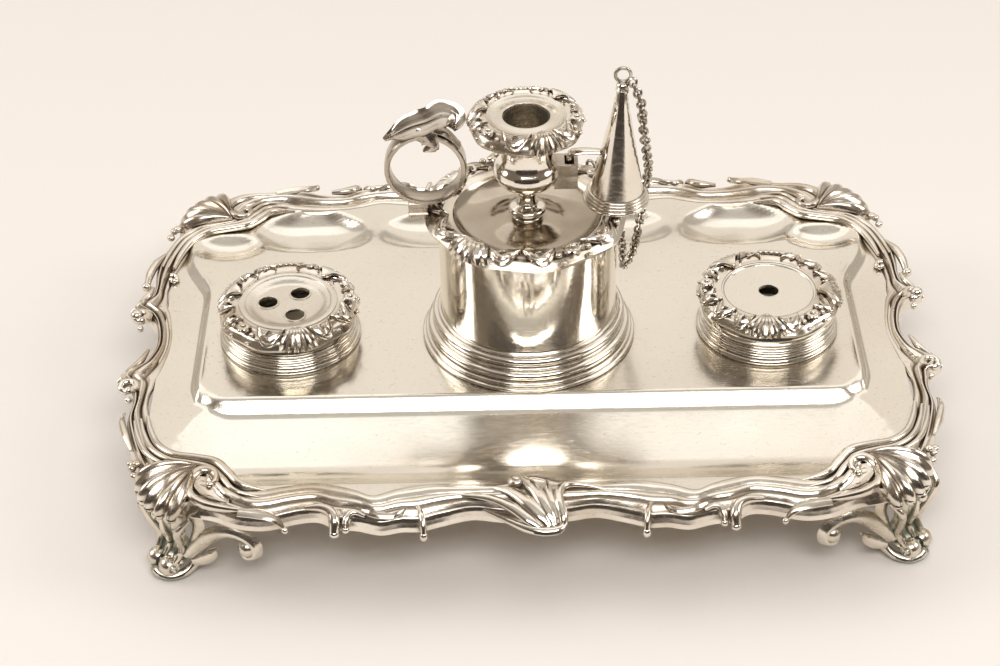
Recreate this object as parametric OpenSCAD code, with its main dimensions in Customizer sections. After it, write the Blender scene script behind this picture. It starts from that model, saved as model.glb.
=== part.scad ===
// Inkstand with two wells, pen troughs and a wafer box whose lid is a taperstick.
// Table at z = 0, front towards -Y, all sizes in mm.

/* [Tray] */
// Half length of the plain tray sheet
tray_hx = 133; // [131:1:134]
// Half depth of the plain tray sheet
tray_hy = 87; // [86:1:88]
// Height of the platform that carries the wells and the box
platform_z = 36; // [35.5:0.5:37]
// Height of the low flat round the platform
flat_z = 33; // [32.5:0.5:33]
// Thickness of the tray sheet
sheet = 1.2; // [1:0.1:1.4]
// Depth of the front pen trough
front_deep = 7; // [6:0.5:7.5]
// Depth of the back troughs
back_deep = 6; // [5:0.5:6.5]

/* [Border] */
// Top of the border's highest reed
crest_z = 35; // [34.5:0.5:36]
// Bottom of the border's outer drop
drop_z = 29; // [28.5:0.5:29.5]
// Lobes in each corner shell
shell_lobes = 7; // [5:1:9]

/* [Wells] */
// Distance of each well from the middle
well_x = 86.4; // [84:0.2:88]
// Outside radius of the well collars
collar_r = 25.6; // [25:0.1:26]
// Radius of the quill holes in the left cover
quill_r = 3.4; // [3:0.1:3.6]
// Radius of the circle the quill holes stand on
quill_ring = 7.4; // [7.2:0.1:8]
// Radius of the dip hole in the right cover
dip_r = 3.6; // [3:0.1:4.5]
// Outside radius of the glass liners
liner_r = 19.4; // [18.5:0.1:19.5]
// Depth of the glass below the platform
liner_sink = 20; // [14:1:24]

/* [Wafer box] */
// Outside radius of the box wall
drum_r = 31.4; // [31:0.1:31.6]
// Thickness of the box wall
drum_t = 0.8; // [0.7:0.1:0.9]
// Height of the top edge of the box wall
drum_top = 85.7; // [85.5:0.1:85.7]
// Foot radius of the box moulding
drum_foot = 38.3; // [37.5:0.1:38.5]

/* [Taperstick] */
// Radius of the lid's cast border
lid_r = 35.6; // [35:0.1:36.5]
// Radius of the candle hole
candle_r = 8; // [7.8:0.1:8.1]
// Outside radius of the nozzle
nozzle_r = 20.2; // [19:0.1:20.4]
// Outside radius of the finger ring
ring_r = 14.25; // [13.5:0.05:14.5]
// Distance of the finger ring from the middle
ring_x = 35; // [34.5:0.1:35.5]
// Distance of the snuffer cone from the middle
cone_x = 31; // [31:0.1:31.4]
// Lean of the snuffer cone to the right
cone_lean = 2; // [1.5:0.1:2.2]
// Links in the snuffer chain
chain_links = 65; // [63:1:67]

/* [Hidden] */
$fn = 64;
gap = 0.3; // between pieces that lift apart
under = flat_z - sheet; // underside of the low flat
pen_end = 106; // long trough: middle of its round ends, its line and its half width
pen_y = 59.4;
pen_w = 21;
corner_r = 22;
silver = [0.80, 0.77, 0.71];
dark = [0.45, 0.42, 0.38];
clear = [0.8, 0.9, 0.9, 0.35];

// ---- shared shapes ----

// point at u between b and c on a smooth curve through a, b, c, d
function bend(a, b, c, d, u) = 0.5 * (2 * b + (c - a) * u + (2 * a - 5 * b + 4 * c - d) * u * u
  + (3 * b - a - 3 * c + d) * u * u * u);
function at(p, i) = p[max(0, min(len(p) - 1, i))];
function smooth(p, n) = concat([for (i = [0 : len(p) - 2], k = [0 : n - 1])
  bend(at(p, i - 1), at(p, i), at(p, i + 1), at(p, i + 2), k / n)], [p[len(p) - 1]]);
function turned(p) = [for (i = [len(p) - 1 : -1 : 0]) p[i]];
function flip(p) = [for (q = p) [-q[0], q[1]]];
function mix(a, b, f) = [for (i = [0 : len(a) - 1]) a[i] * (1 - f) + b[i] * f];
function arc(x, y, r, from, to, n) = [for (k = [0 : n])
  let (t = from + (to - from) * k / n) [x + r * cos(t), y + r * sin(t)]];

module round_rect(hx, hy, r) {
  square([2 * hx, 2 * (hy - r)], center = true);
  square([2 * (hx - r), 2 * hy], center = true);
  for (x = [-1, 1], y = [-1, 1]) translate([x * (hx - r), y * (hy - r)]) circle(r);
}
module blank(low, high) {
  translate([0, 0, low]) linear_extrude(high - low) round_rect(tray_hx, tray_hy, corner_r);
}
// half of a dished profile: top face from the middle out, then the underside back
function dish(w, deep, top) = let (r = (w * w + deep * deep) / (2 * deep), c = top - deep + r,
    a = asin(w / r))
  concat([for (k = [0 : 6]) [r * sin(a * k / 6), c - r * cos(a * k / 6)]],
    [for (k = [6 : -1 : 0]) [r * sin(a * k / 6), c - r * cos(a * k / 6) - sheet]]);
// a long dish with round ends, from x0 to x1 between the ends' middles
module trough(x0, x1, y, w, deep) {
  p = dish(w, deep, flat_z);
  translate([x0, y, 0]) rotate([90, 0, 90]) linear_extrude(x1 - x0)
    polygon(concat(p, [for (i = [len(p) - 2 : -1 : 1]) [-p[i][0], p[i][1]]]));
  translate([x0, y, 0]) rotate([0, 0, 90]) rotate_extrude(angle = 180) polygon(p);
  translate([x1, y, 0]) rotate([0, 0, -90]) rotate_extrude(angle = 180) polygon(p);
}
module slot_2d(x0, x1, y, w) {
  for (x = [x0, x1]) translate([x, y]) circle(w);
  translate([x0, y - w]) square([x1 - x0, 2 * w]);
}
// [from, to, y, half width, depth] of every trough
trough_list = [[-pen_end, pen_end, -pen_y, pen_w, front_deep - 2], [-40, 40, 68, 14, back_deep - 1],
  [75, 88, 67.5, 14.5, back_deep], [-88, -75, 67.5, 14.5, back_deep],
  [114, 116.5, 60.5, 10, back_deep - 2], [-116.5, -114, 60.5, 10, back_deep - 2]];
module platform(low, high, inset) {
  translate([0, 5, low]) linear_extrude(high - low)
    round_rect(118.5 - inset, 42 - inset, 10 - inset);
}
// a band of the border between two shares of its width
module band(inner, outer, f0, f1, z0, z1) {
  translate([0, 0, z0]) linear_extrude(z1 - z0)
    polygon(concat(mix(inner, outer, f0), turned(mix(inner, outer, f1))));
}
module reeds(inner, outer) difference() {
  union() {
    band(inner, outer, 0, 1, drop_z, 32.4);
    band(inner, outer, 0.04, 0.22, 32, 33.9);
    band(inner, outer, 0.32, 0.5, 32, 34.4);
    band(inner, outer, 0.6, 0.86, 32, crest_z);
  }
  blank(drop_z - 1, flat_z);
}
front_half = [[0, 103], [7, 104], [12, 99], [20, 97], [32, 99], [37, 105], [41, 102], [50, 104],
  [60, 99], [63, 104], [67, 104], [70, 95], [80, 96], [84, 102], [90, 100], [98, 99]];
front_out = smooth(concat(turned(flip(front_half)), [for (i = [1 : 15]) front_half[i]]), 2);
front_in = [for (p = front_out) [p[0], 84 - 2 * abs(sin(p[0] * 4.6))]];
side_out = smooth([[137, -71], [138, -63], [141, -50], [143, -41], [139, -36], [141, -30],
  [147, -25], [148, -18], [139, -10], [136, 0], [138, 10], [145, 14], [148, 22], [140, 29],
  [139, 36], [142, 41], [142, 50], [138, 62], [137, 71]], 2);
side_in = [for (p = side_out) [130 + p[1] * p[1] / 1400, p[1] * 0.97]];

module shell(sx, sy) {
  mirror([sx < 0 ? 1 : 0, 0, 0]) mirror([0, sy < 0 ? 1 : 0, 0]) difference() {
    translate([113, 70, 0]) {
      for (k = [0 : shell_lobes - 1]) {
        f = k / (shell_lobes - 1);
        long = 15 + 8 * sin(180 * f);
        rotate([0, 0, -22 + 134 * f]) translate([5.4, 0, 34.4]) rotate([0, 95, 0]) rotate_extrude($fn = 32)
          polygon([[0, 0], [0.9, 0], [2.5, long - 8], [2.1, long - 6], [0, long - 5]]);
      }
      translate([0, 0, drop_z]) linear_extrude(33.6 - drop_z) polygon([for (k = [0 : 35])
        (15 + 4 * abs(sin(k * 27)) + (k > 0 && k < 18 ? 4 : -1)) * [cos(k * 10 - 45), sin(k * 10 - 45)]]);
      translate([0, 0, 33.6]) cylinder(h = 2.2, r = 3.6);
    }
    blank(drop_z - 6, flat_z);
    translate([60, 40, 0]) cube([38.2, 80, 60]);
    translate([60, 20, 0]) cube([100, 47.2, 60]);
  }
}

module end_strip() intersection() {
  reeds(front_in, front_out);
  translate([-98, 60, 20]) cube([196, 60, 30]);
}
module side_strip() intersection() {
  reeds(side_in, side_out);
  translate([110, -67, 20]) cube([60, 134, 30]);
}

// leg outline in its own upright plane: out is +X, up is +Y
leg = smooth([[-6, 32], [5, 32], [9.5, 26], [8.5, 19], [5.6, 13], [7.4, 7.4], [13, 4.6], [16, 1.5],
  [12, 0.2], [6, 0.3], [2.4, 4.5], [0.8, 11], [2.6, 18], [2.4, 24], [-1.5, 27.5], [-6, 28.5],
  [-6, 32]], 4);
module bracket(reach) {
  // a C scroll that hangs under the border and ends in a bulb
  translate([0, 1.7, 0]) rotate([90, 0, 0]) linear_extrude(3.4) {
    intersection() {
      difference() {
        translate([reach - 9, 25]) circle(8.5);
        translate([reach - 9, 25.6]) circle(5.6);
      }
      translate([reach - 20, 10]) square([22, 15.5]);
    }
    translate([reach - 15.6, 20.5]) polygon([[0, 0], [0, 8.4], [-14, 8.4], [-13, 3]]);
  }
  translate([reach - 0.8, 0, 21.5]) sphere(3);
}
module foot(sx, sy) mirror([sx < 0 ? 1 : 0, 0, 0]) mirror([0, sy < 0 ? 1 : 0, 0]) difference() {
  intersection() {
    union() {
      translate([116.5, 78.5, 0]) rotate([0, 0, 41]) {
        rotate([90, 0, 0]) translate([0, 0, -5]) linear_extrude(10) polygon(leg);
        for (s = [-1, 1]) {
          translate([12.2, s * 3.2, 4.4]) sphere(4.4);
          translate([4, s * 4.6, 24]) rotate([90, 0, 0]) cylinder(h = 2.4, r = 5, center = true);
          translate([3.4, s * 4.6, 13]) rotate([90, 0, 0]) cylinder(h = 2, r = 3.2, center = true);
        }
      }
      translate([113, 86, 0]) rotate([0, 0, 170]) bracket(20);
      translate([126, 72, 0]) rotate([0, 0, 262]) bracket(20);
    }
    union() {
      translate([60, 40, -1]) cube([100, 80, drop_z + 1]);
      blank(0, under);
    }
  }
  // room for the rounded end of the long trough
  translate([pen_end, pen_y, drop_z - sheet - gap]) cylinder(h = 20, r = pen_w + gap);
}

module ring_of(r, z, wire) rotate_extrude($fn = 96) translate([r, z]) circle(wire);
// petals and leaves set round a cast rim
module rim_leaves(n, r, z, size) {
  for (k = [0 : n - 1]) rotate([0, 0, 360 * k / n]) translate([r, 0, z]) {
    sphere(size, $fn = 24);
    rotate([0, 0, 35]) translate([0, size * 1.2, -0.2]) sphere(size * 0.7, $fn = 24);
  }
}

// ---- tray ----

module tray() color(silver) {
  translate([0, 0, under]) linear_extrude(sheet) difference() {
    round_rect(tray_hx, tray_hy, corner_r);
    translate([0, 5]) round_rect(118.5, 42, 10);
    for (t = trough_list) slot_2d(t[0], t[1], t[2], t[3]);
  }
  for (t = trough_list) trough(t[0], t[1], t[2], t[3], t[4]);
  difference() {
    platform(under, platform_z, 0);
    platform(under - 1, platform_z - sheet, sheet);
    for (s = [-1, 1]) translate([s * well_x, 0, 20]) cylinder(h = 30, r = liner_r + 0.6);
  }
}
module border_front() color(silver) difference() {
  mirror([0, 1, 0]) end_strip();
  translate([0, -94.4, 20]) cylinder(h = 30, r = 10.6);
}
module border_back() color(silver) end_strip();
module border_right() color(silver) side_strip();
module border_left() color(silver) mirror([1, 0, 0]) side_strip();
module front_leaf() color(silver) difference() {
  union() {
    translate([0, -94.4, drop_z]) cylinder(h = 4.6, r = 10.6);
    for (a = [-50, -25, 0, 25, 50]) translate([0, -83, 34.4]) rotate([0, 0, a - 90])
      translate([3, 0, 0]) rotate([0, 96, 0]) cylinder(h = 17 - abs(a) / 7, r1 = 1.2, r2 = 2.5, $fn = 32);
    translate([2, -102.2, 32.4]) rotate([0, 80, 8]) cylinder(h = 11, r = 2.4, center = true);
  }
  mirror([0, 1, 0]) blank(drop_z - 1, flat_z);
  difference() {
    translate([-60, -120, drop_z - 1]) cube([120, 40, 20]);
    translate([0, -94.4, drop_z - 1]) cylinder(h = 30, r = 10.6);
  }
}
module shell_front_left() color(silver) shell(-1, -1);
module shell_front_right() color(silver) shell(1, -1);
module shell_back_left() color(silver) shell(-1, 1);
module shell_back_right() color(silver) shell(1, 1);
module foot_front_left() color(silver) foot(-1, -1);
module foot_front_right() color(silver) foot(1, -1);
module foot_back_left() color(silver) foot(-1, 1);
module foot_back_right() color(silver) foot(1, 1);

// ---- wells ----

module collar(x) color(silver) translate([x, 0, platform_z]) difference() {
  union() {
    cylinder(h = 1.2, r = collar_r);
    cylinder(h = 7.2, r = 23.6);
    ring_of(collar_r - 1.5, 1.5, 1.5);
    ring_of(24, 4.1, 1.4);
    ring_of(23.6, 6.3, 0.9);
  }
  translate([0, 0, -1]) cylinder(h = 12, r = 22.9);
  translate([0, 0, -3]) cylinder(h = 3, r = 30);
}
module collar_left() collar(-well_x);
module collar_right() collar(well_x);

module liner(x) color(clear) translate([x, 0, platform_z]) difference() {
  union() {
    translate([0, 0, -liner_sink]) cylinder(h = liner_sink + 7.2, r = liner_r);
    translate([0, 0, gap]) cylinder(h = 1.3, r = 21.6);
  }
  translate([0, 0, 2.5 - liner_sink]) cylinder(h = liner_sink + 8, r = liner_r - 2.2);
}
module liner_left() liner(-well_x);
module liner_right() liner(well_x);

module cover_skirt_left() color(silver) translate([-well_x, 0, 0]) difference() {
  union() {
    translate([0, 0, 38]) cylinder(h = 8.4, r = 22.5);
    translate([0, 0, 43.6]) cylinder(h = 2.8, r = 23.8);
  }
  translate([0, 0, 37]) cylinder(h = 12, r = 21.9);
}
module cover_dish_left() color(silver) translate([-well_x, 0, 0]) difference() {
  rotate_extrude($fn = 96) {
    translate([0, 48.3]) square([15.6, 1]);
    translate([15, 48.3]) square([1, 2.2]);
    translate([15, 49.6]) square([2.6, 0.9]);
  }
  for (a = [172, 58, -68]) translate([quill_ring * cos(a), quill_ring * sin(a), 47])
    cylinder(h = 5, r = quill_r);
}
module cover_rim_left() color(silver) translate([-well_x, 0, 0]) difference() {
  union() {
    rotate_extrude($fn = 96)
      polygon([[17.6, 49.2], [17.6, 51], [19.5, 51.4], [22, 50.4], [24.4, 47.6], [24.8, 44.6],
        [23.9, 44.6], [23.9, 46.4], [21.4, 46.4], [21.4, 48]]);
    rim_leaves(17, 22.3, 49.7, 1.6);
  }
  translate([0, 0, 40]) cylinder(h = 20, r = 17.6);
  translate([0, 0, 37]) cylinder(h = 9.4, r = 23.8);
}
module cover_skirt_right() color(silver) translate([well_x, 0, 0]) difference() {
  union() {
    translate([0, 0, 38]) cylinder(h = 11, r = 22.5);
    rotate_extrude($fn = 96) polygon(concat([[20, 43.6]], arc(19.9, 43.6, 4.4, 0, 80, 8), [[20, 49]]));
  }
  translate([0, 0, 37]) cylinder(h = 14, r = 21.9);
}
module cover_plate_right() color(silver) translate([well_x, 0, 0]) difference() {
  translate([0, 0, 50]) cylinder(h = 1.1, r = 16.8);
  translate([0, 0, 49]) cylinder(h = 4, r = dip_r);
}
module cover_rim_right() color(silver) translate([well_x, 0, 0]) difference() {
  union() {
    rotate_extrude($fn = 96)
      polygon([[16.8, 49.4], [16.8, 52], [18.4, 52.4], [22, 51.6], [24.6, 50], [24.9, 48.2],
        [23.4, 49.05], [21.4, 49.05]]);
    rim_leaves(17, 22.3, 51, 1.5);
  }
  translate([0, 0, 37]) cylinder(h = 12.1, r = 24.2);
  translate([0, 0, 40]) cylinder(h = 20, r = 16.8);
}

// ---- wafer box ----

module box_moulding() color(silver) difference() {
  union() {
    translate([0, 0, platform_z]) cylinder(h = 2, r = drum_foot);
    translate([0, 0, platform_z]) cylinder(h = 10.5, r = 33.6);
    ring_of(36.4, platform_z + 3.4, 1.9);
    ring_of(34.8, platform_z + 6.6, 1.5);
    ring_of(33.4, platform_z + 10.3, 1.9);
  }
  translate([0, 0, 20]) cylinder(h = 40, r = drum_r);
  translate([0, 0, 20]) cylinder(h = platform_z - 20, r = 50);
}
module box_wall() color(silver) translate([0, 0, platform_z]) difference() {
  cylinder(h = drum_top - platform_z, r = drum_r, $fn = 128);
  translate([0, 0, -1]) cylinder(h = 60, r = drum_r - drum_t, $fn = 128);
}
module box_floor() color(silver) translate([0, 0, platform_z])
  cylinder(h = 0.8, r = drum_r - drum_t);

// ---- lid and taperstick ----

module lid_flange() color(silver) translate([0, 0, 78]) difference() {
  cylinder(h = 8, r = drum_r - drum_t - gap, $fn = 128);
  translate([0, 0, -1]) cylinder(h = 10, r = drum_r - drum_t - gap - 0.8, $fn = 128);
}
pan_top = smooth([[26.4, 87.2], [25.4, 85.6], [22, 83.2], [18, 82.4], [15.6, 82.9], [13.6, 84.4],
  [10, 85.4], [5.5, 86]], 4);
module lid_pan() color(silver) rotate_extrude($fn = 96)
  polygon(concat(pan_top, [for (p = turned(pan_top)) [p[0], p[1] - 0.9]]));
module lid_border() color(silver) difference() {
  union() {
    rotate_extrude($fn = 96)
      polygon([[26.4, 86], [26.4, 88], [28, 89], [30, 88.4], [31.5, 89.2], [33, 88.2], [34.4, 88.4],
        [lid_r, 86.6], [lid_r, 85.4], [33, 86]]);
    rim_leaves(26, 31.5, 88.2, 1.6);
  }
  translate([0, 0, 60]) cylinder(h = 26, r = 33);
  translate([0, 0, 60]) cylinder(h = 40, r = 26.4);
  translate([-ring_x - 6.9, -3.6, 87.4]) cube([7.8, 7.2, 10]);
  translate([23.3, 24.5, 88.6]) sphere(2.7);
}
stem_side = smooth([[5.2, 85.1], [5.2, 86.2], [3.8, 87.2], [5, 87.5], [6.7, 89], [5, 90.6], [3.6, 91.3],
  [3.1, 93.5], [3.4, 96], [4.6, 98]], 4);
module stem() color(silver) rotate_extrude($fn = 64) polygon(concat([[0, 85.1]], stem_side, [[0, 98]]));
vase = smooth([[4.6, 98], [8, 99.6], [11, 102], [11.6, 104.2], [10.6, 107.4], [9.4, 111], [9.4, 115],
  [9.8, 117.2], [9.9, 118.4]], 4);
module candle_socket() color(silver) difference() {
  rotate_extrude($fn = 96) polygon(concat([[0, 98]], vase, [[0, 118.4]]));
  translate([0, 0, 101]) cylinder(h = 30, r = candle_r + 0.7);
}
module hook_sleeve() color(silver) difference() {
  translate([9, -4, 99]) cube([8.4, 8, 9.5]);
  translate([13, -2.9, 90]) cube([3.3, 5.8, 30]);
  rotate_extrude($fn = 96) polygon(concat([[0, 98]], vase, [[0, 118.4]]));
}
module nozzle_tube() color(silver) difference() {
  rotate_extrude($fn = 96) polygon([[0, 105], [candle_r + 0.4, 105], [candle_r + 0.4, 119.4],
    [candle_r + 1.4, 121.8], [13, 125], [0, 125]]);
  translate([0, 0, 104]) cylinder(h = 30, r = candle_r);
}
module nozzle_pan() color(silver) difference() {
  rotate_extrude($fn = 96) polygon([[7, 125], [13.7, 125], [13.7, 126.6], [12.8, 126.6],
    [10.6, 126], [9, 126.4], [7, 126.5]]);
  translate([0, 0, 104]) cylinder(h = 30, r = candle_r);
}
module nozzle_border() color(silver) difference() {
  union() {
    rotate_extrude($fn = 96) polygon([[13.7, 125], [13.7, 127.2], [15.2, 127.4], [17.6, 126.4],
      [19.6, 124.8], [nozzle_r, 123], [19, 123.2], [17, 124.6]]);
    rim_leaves(16, 17.7, 126, 1.5);
  }
  translate([0, 0, 104]) cylinder(h = 40, r = 13.7);
}
module ring_lug() color(silver) difference() {
  translate([-ring_x - 6.8, -3.5, 87.4]) cube([7.6, 7, 7]);
  translate([-ring_x, 0, 107]) rotate([90, 0, 0]) cylinder(h = 30, r = ring_r, center = true);
}
module finger_ring() color(silver) translate([-ring_x, 0, 107]) rotate([90, 0, 0])
  difference() {
    cylinder(h = 7, r = ring_r, center = true, $fn = 128);
    cylinder(h = 9, r = ring_r - 1.9, center = true, $fn = 128);
  }
leaf = smooth([[-15, -1], [-11, -5], [-6, -6.5], [-3, -8.6], [2, -7.4], [6, -8.4], [10, -5.4], [13, -5],
  [14, 0], [11, 4.6], [6, 6], [2, 8], [-3, 6.8], [-8, 5.4], [-12, 3], [-15, -1]], 3);
module thumb_leaf() color(silver) difference() {
  union() {
    translate([-ring_x, 0, 122.6]) rotate([0, -16, 0]) linear_extrude(1.7) polygon(leaf);
    translate([-ring_x - 1.5, 0, 120.6]) cylinder(h = 3, r = 4);
  }
  translate([-ring_x, 0, 107]) rotate([90, 0, 0]) cylinder(h = 30, r = ring_r, center = true, $fn = 128);
}
// the snuffer stands on its foot circle's middle and leans a little to the right
module lean() translate([cone_x, 0, 91.4]) rotate([0, cone_lean, 0]) children();
module snuffer_cone() color(silver) lean() rotate_extrude($fn = 96)
  polygon([[8.6, 4.6], [9.4, 4.6], [1.9, 43.6], [0, 43.6], [0, 40], [0.9, 40]]);
module snuffer_foot() color(silver) lean() difference() {
  union() {
    cylinder(h = 4.6, r = 10);
    ring_of(10.4, 1.2, 1.2);
    ring_of(10.1, 3.1, 1);
    ring_of(9.7, 4.6, 0.8);
  }
  translate([0, 0, -1]) cylinder(h = 5.61, r = 8.6);
  translate([0, 0, 4.6]) cylinder(h = 5, r = 12);
}
module snuffer_hook() color(silver) difference() {
  union() {
    translate([13.4, -2.2, 110]) cube([14, 4.4, 1.8]);
    translate([13.4, -2.2, 100.5]) cube([2.4, 4.4, 11]);
  }
  lean() translate([0, 0, 4.6]) cylinder(h = 39, r1 = 9.4, r2 = 1.9, $fn = 96);
}
module snuffer_finial() color(silver) lean() {
  translate([0, 0, 43.6]) cylinder(h = 1.2, r = 2.4);
  translate([0, 0, 44.8]) cylinder(h = 1.6, r = 1.3);
  translate([0, 0, 46.4]) sphere(1.5);
}
module snuffer_loop() color(silver) difference() {
  lean() translate([0, 0, 50.4]) rotate([90, 0, 0]) rotate_extrude($fn = 48) translate([2.6, 0])
    circle(0.6, $fn = 24);
  snuffer_finial();
}

// ---- chain ----

// the chain hangs from the loop, sags beside the box and comes back up to its eye
route = smooth([[36.4, -0.9, 138.4], [38.8, -1.8, 132], [39.8, -2, 122], [41.2, -0.6, 112],
  [42.4, 3.4, 102], [42, 8, 94], [41.4, 8.6, 88], [40.4, 8.4, 80], [39.2, 8.2, 71], [37.4, 8.8, 62],
  [35.2, 10.6, 56.2], [34.6, 14.6, 54.8], [34.8, 19.8, 57.6], [33.8, 24.8, 65], [31.6, 28.2, 75],
  [29.4, 29.4, 84], [27.4, 28.6, 88.8], [25.6, 26.8, 90]], 6);
function run(p, i = 1, sum = 0) = i >= len(p) ? sum : run(p, i + 1, sum + norm(p[i] - p[i - 1]));
function walk(p, d, i = 1) = let (step = norm(p[i] - p[i - 1]))
  d <= step || i >= len(p) - 1 ? [p[i - 1] + (p[i] - p[i - 1]) * d / step, (p[i] - p[i - 1]) / step]
  : walk(p, d - step, i + 1);
module chain_eye() color(silver) {
  difference() {
    translate([23.3, 24.5, 90.2]) rotate([0, 90, 46]) rotate_extrude($fn = 48) translate([1.9, 0])
      circle(0.55, $fn = 24);
    translate([23.3, 24.5, 88.6]) sphere(1.4);
  }
  translate([23.3, 24.5, 88.6]) sphere(1.4);
}
module chain() color(dark) for (k = [0 : chain_links - 1]) {
  w = walk(route, run(route) * k / (chain_links - 1));
  d = w[1];
  translate(w[0]) rotate([0, acos(d[2]), atan2(d[1], d[0])]) rotate([90, 0, 45 + 90 * (k % 2)])
    rotate_extrude($fn = 24) translate([1.45, 0]) circle(0.36, $fn = 16);
}

tray();
border_front();
border_back();
border_left();
border_right();
front_leaf();
shell_front_left();
shell_front_right();
shell_back_left();
shell_back_right();
foot_front_left();
foot_front_right();
foot_back_left();
foot_back_right();
collar_left();
collar_right();
liner_left();
liner_right();
cover_skirt_left();
cover_dish_left();
cover_rim_left();
cover_skirt_right();
cover_plate_right();
cover_rim_right();
box_moulding();
box_wall();
box_floor();
lid_flange();
lid_pan();
lid_border();
stem();
candle_socket();
hook_sleeve();
nozzle_tube();
nozzle_pan();
nozzle_border();
ring_lug();
finger_ring();
thumb_leaf();
snuffer_cone();
snuffer_foot();
snuffer_hook();
snuffer_finial();
snuffer_loop();
chain_eye();
chain();
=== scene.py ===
import bpy, math
import numpy as np
from mathutils import Matrix, Vector


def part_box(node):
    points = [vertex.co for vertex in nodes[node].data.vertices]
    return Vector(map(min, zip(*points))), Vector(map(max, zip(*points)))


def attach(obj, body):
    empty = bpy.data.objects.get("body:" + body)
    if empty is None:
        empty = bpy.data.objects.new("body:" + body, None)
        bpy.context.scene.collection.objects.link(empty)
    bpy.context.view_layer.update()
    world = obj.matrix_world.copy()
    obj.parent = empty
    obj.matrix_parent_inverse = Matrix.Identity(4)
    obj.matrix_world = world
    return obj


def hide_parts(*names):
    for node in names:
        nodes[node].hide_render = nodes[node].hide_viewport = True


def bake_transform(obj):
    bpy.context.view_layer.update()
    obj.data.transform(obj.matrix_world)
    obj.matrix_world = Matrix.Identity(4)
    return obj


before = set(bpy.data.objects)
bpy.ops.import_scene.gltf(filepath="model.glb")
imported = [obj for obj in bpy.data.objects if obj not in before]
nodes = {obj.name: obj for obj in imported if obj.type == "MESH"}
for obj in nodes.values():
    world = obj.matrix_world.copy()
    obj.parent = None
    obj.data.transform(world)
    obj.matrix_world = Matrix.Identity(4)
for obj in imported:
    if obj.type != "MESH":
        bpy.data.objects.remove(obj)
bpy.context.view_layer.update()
mm = 0.001
tau = 2 * math.pi


# camera, floor and lights

cameraSet = {"place": (-9.65, -686.8, 544.7), "pitch": 36.61, "yaw": -0.065, "roll": -0.0202, "lens": 84.68}


def addCamera(s):
    pitch, yaw, roll = math.radians(s["pitch"]), math.radians(s["yaw"]), s["roll"]
    ahead = Vector((math.sin(yaw) * math.cos(pitch), math.cos(yaw) * math.cos(pitch), -math.sin(pitch)))
    right = Vector((math.cos(yaw), -math.sin(yaw), 0))
    up = right.cross(ahead)
    x = math.cos(roll) * right + math.sin(roll) * up
    y = -math.sin(roll) * right + math.cos(roll) * up
    data = bpy.data.cameras.new("camera")
    data.lens, data.sensor_width, data.clip_start, data.clip_end = s["lens"], 36, 0.05, 30
    camera = bpy.data.objects.new("camera", data)
    bpy.context.scene.collection.objects.link(camera)
    turn = Matrix((x, y, -ahead)).transposed().to_4x4()
    camera.matrix_world = Matrix.Translation(Vector(s["place"]) * mm) @ turn
    bpy.context.scene.camera = camera


def link(t, a, b):
    t.links.new(a, b)


def rangeNode(t, source, low, high, to0=0.0, to1=1.0, soft=False):
    n = t.nodes.new("ShaderNodeMapRange")
    n.interpolation_type = "SMOOTHSTEP" if soft else "LINEAR"
    n.inputs["From Min"].default_value, n.inputs["From Max"].default_value = low, high
    n.inputs["To Min"].default_value, n.inputs["To Max"].default_value = to0, to1
    link(t, source, n.inputs["Value"])
    return n.outputs[0]


def noiseNode(t, where, scale, detail=4.0, stretch=None):
    n = t.nodes.new("ShaderNodeTexNoise")
    n.inputs["Scale"].default_value, n.inputs["Detail"].default_value = scale, detail
    if stretch:
        m = t.nodes.new("ShaderNodeMapping")
        m.inputs["Scale"].default_value = stretch
        m.inputs["Rotation"].default_value = (0.3, 0.2, 0.5)
        link(t, where, m.inputs["Vector"])
        where = m.outputs[0]
    link(t, where, n.inputs["Vector"])
    return n.outputs["Fac"]


def mixColour(t, amount, a, b):
    n = t.nodes.new("ShaderNodeMix")
    n.data_type = "RGBA"
    for socket, value in ((n.inputs[0], amount), (n.inputs[6], a), (n.inputs[7], b)):
        if isinstance(value, bpy.types.NodeSocket):
            link(t, value, socket)
        else:
            socket.default_value = value if isinstance(value, float) else (*value, 1)
    return n.outputs[2]


def maths(t, kind, a, b):
    n = t.nodes.new("ShaderNodeMath")
    n.operation = kind
    n.use_clamp = True
    for i, value in enumerate((a, b)):
        if isinstance(value, bpy.types.NodeSocket):
            link(t, value, n.inputs[i])
        else:
            n.inputs[i].default_value = value
    return n.outputs[0]


# card: left, right, y, top
studio = {"floor": (0.85, 0.815, 0.78), "floorSize": 6, "card": (-0.40, 0.36, -0.43, 0.28),
          "front": (0.18, 0.145, 0.11), "back": (0.50, 0.455, 0.40), "overhead": (0.60, 0.565, 0.515),
          "dark": (0.030, 0.021, 0.015), "worldLevel": 1.0}
softboxes = [  # name, place (m), aim (m), size (m), watts, colour
    ("backLow", (0.0, 1.05, 0.78), (0, 0, 0.03), (2.0, 0.82), 2.3, (1.0, 0.94, 0.865)),
    ("backHigh", (0.0, 0.52, 1.2), (0, -0.05, 0.03), (2.0, 0.68), 3.2, (1.0, 0.985, 0.965)),
    ("leftBox", (-1.2, 0.1, 0.75), (0, 0, 0.03), (0.7, 0.6), 5.0, (1.0, 0.97, 0.94)),
    ("rightBox", (1.15, -0.1, 0.8), (0, 0, 0.03), (0.6, 0.6), 4.4, (1.0, 0.97, 0.94)),
    ("frontBox", (0.1, -0.9, 1.15), (0, -0.3, 0), (1.1, 0.45), 10.4, (1.0, 0.975, 0.955)),
]


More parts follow.
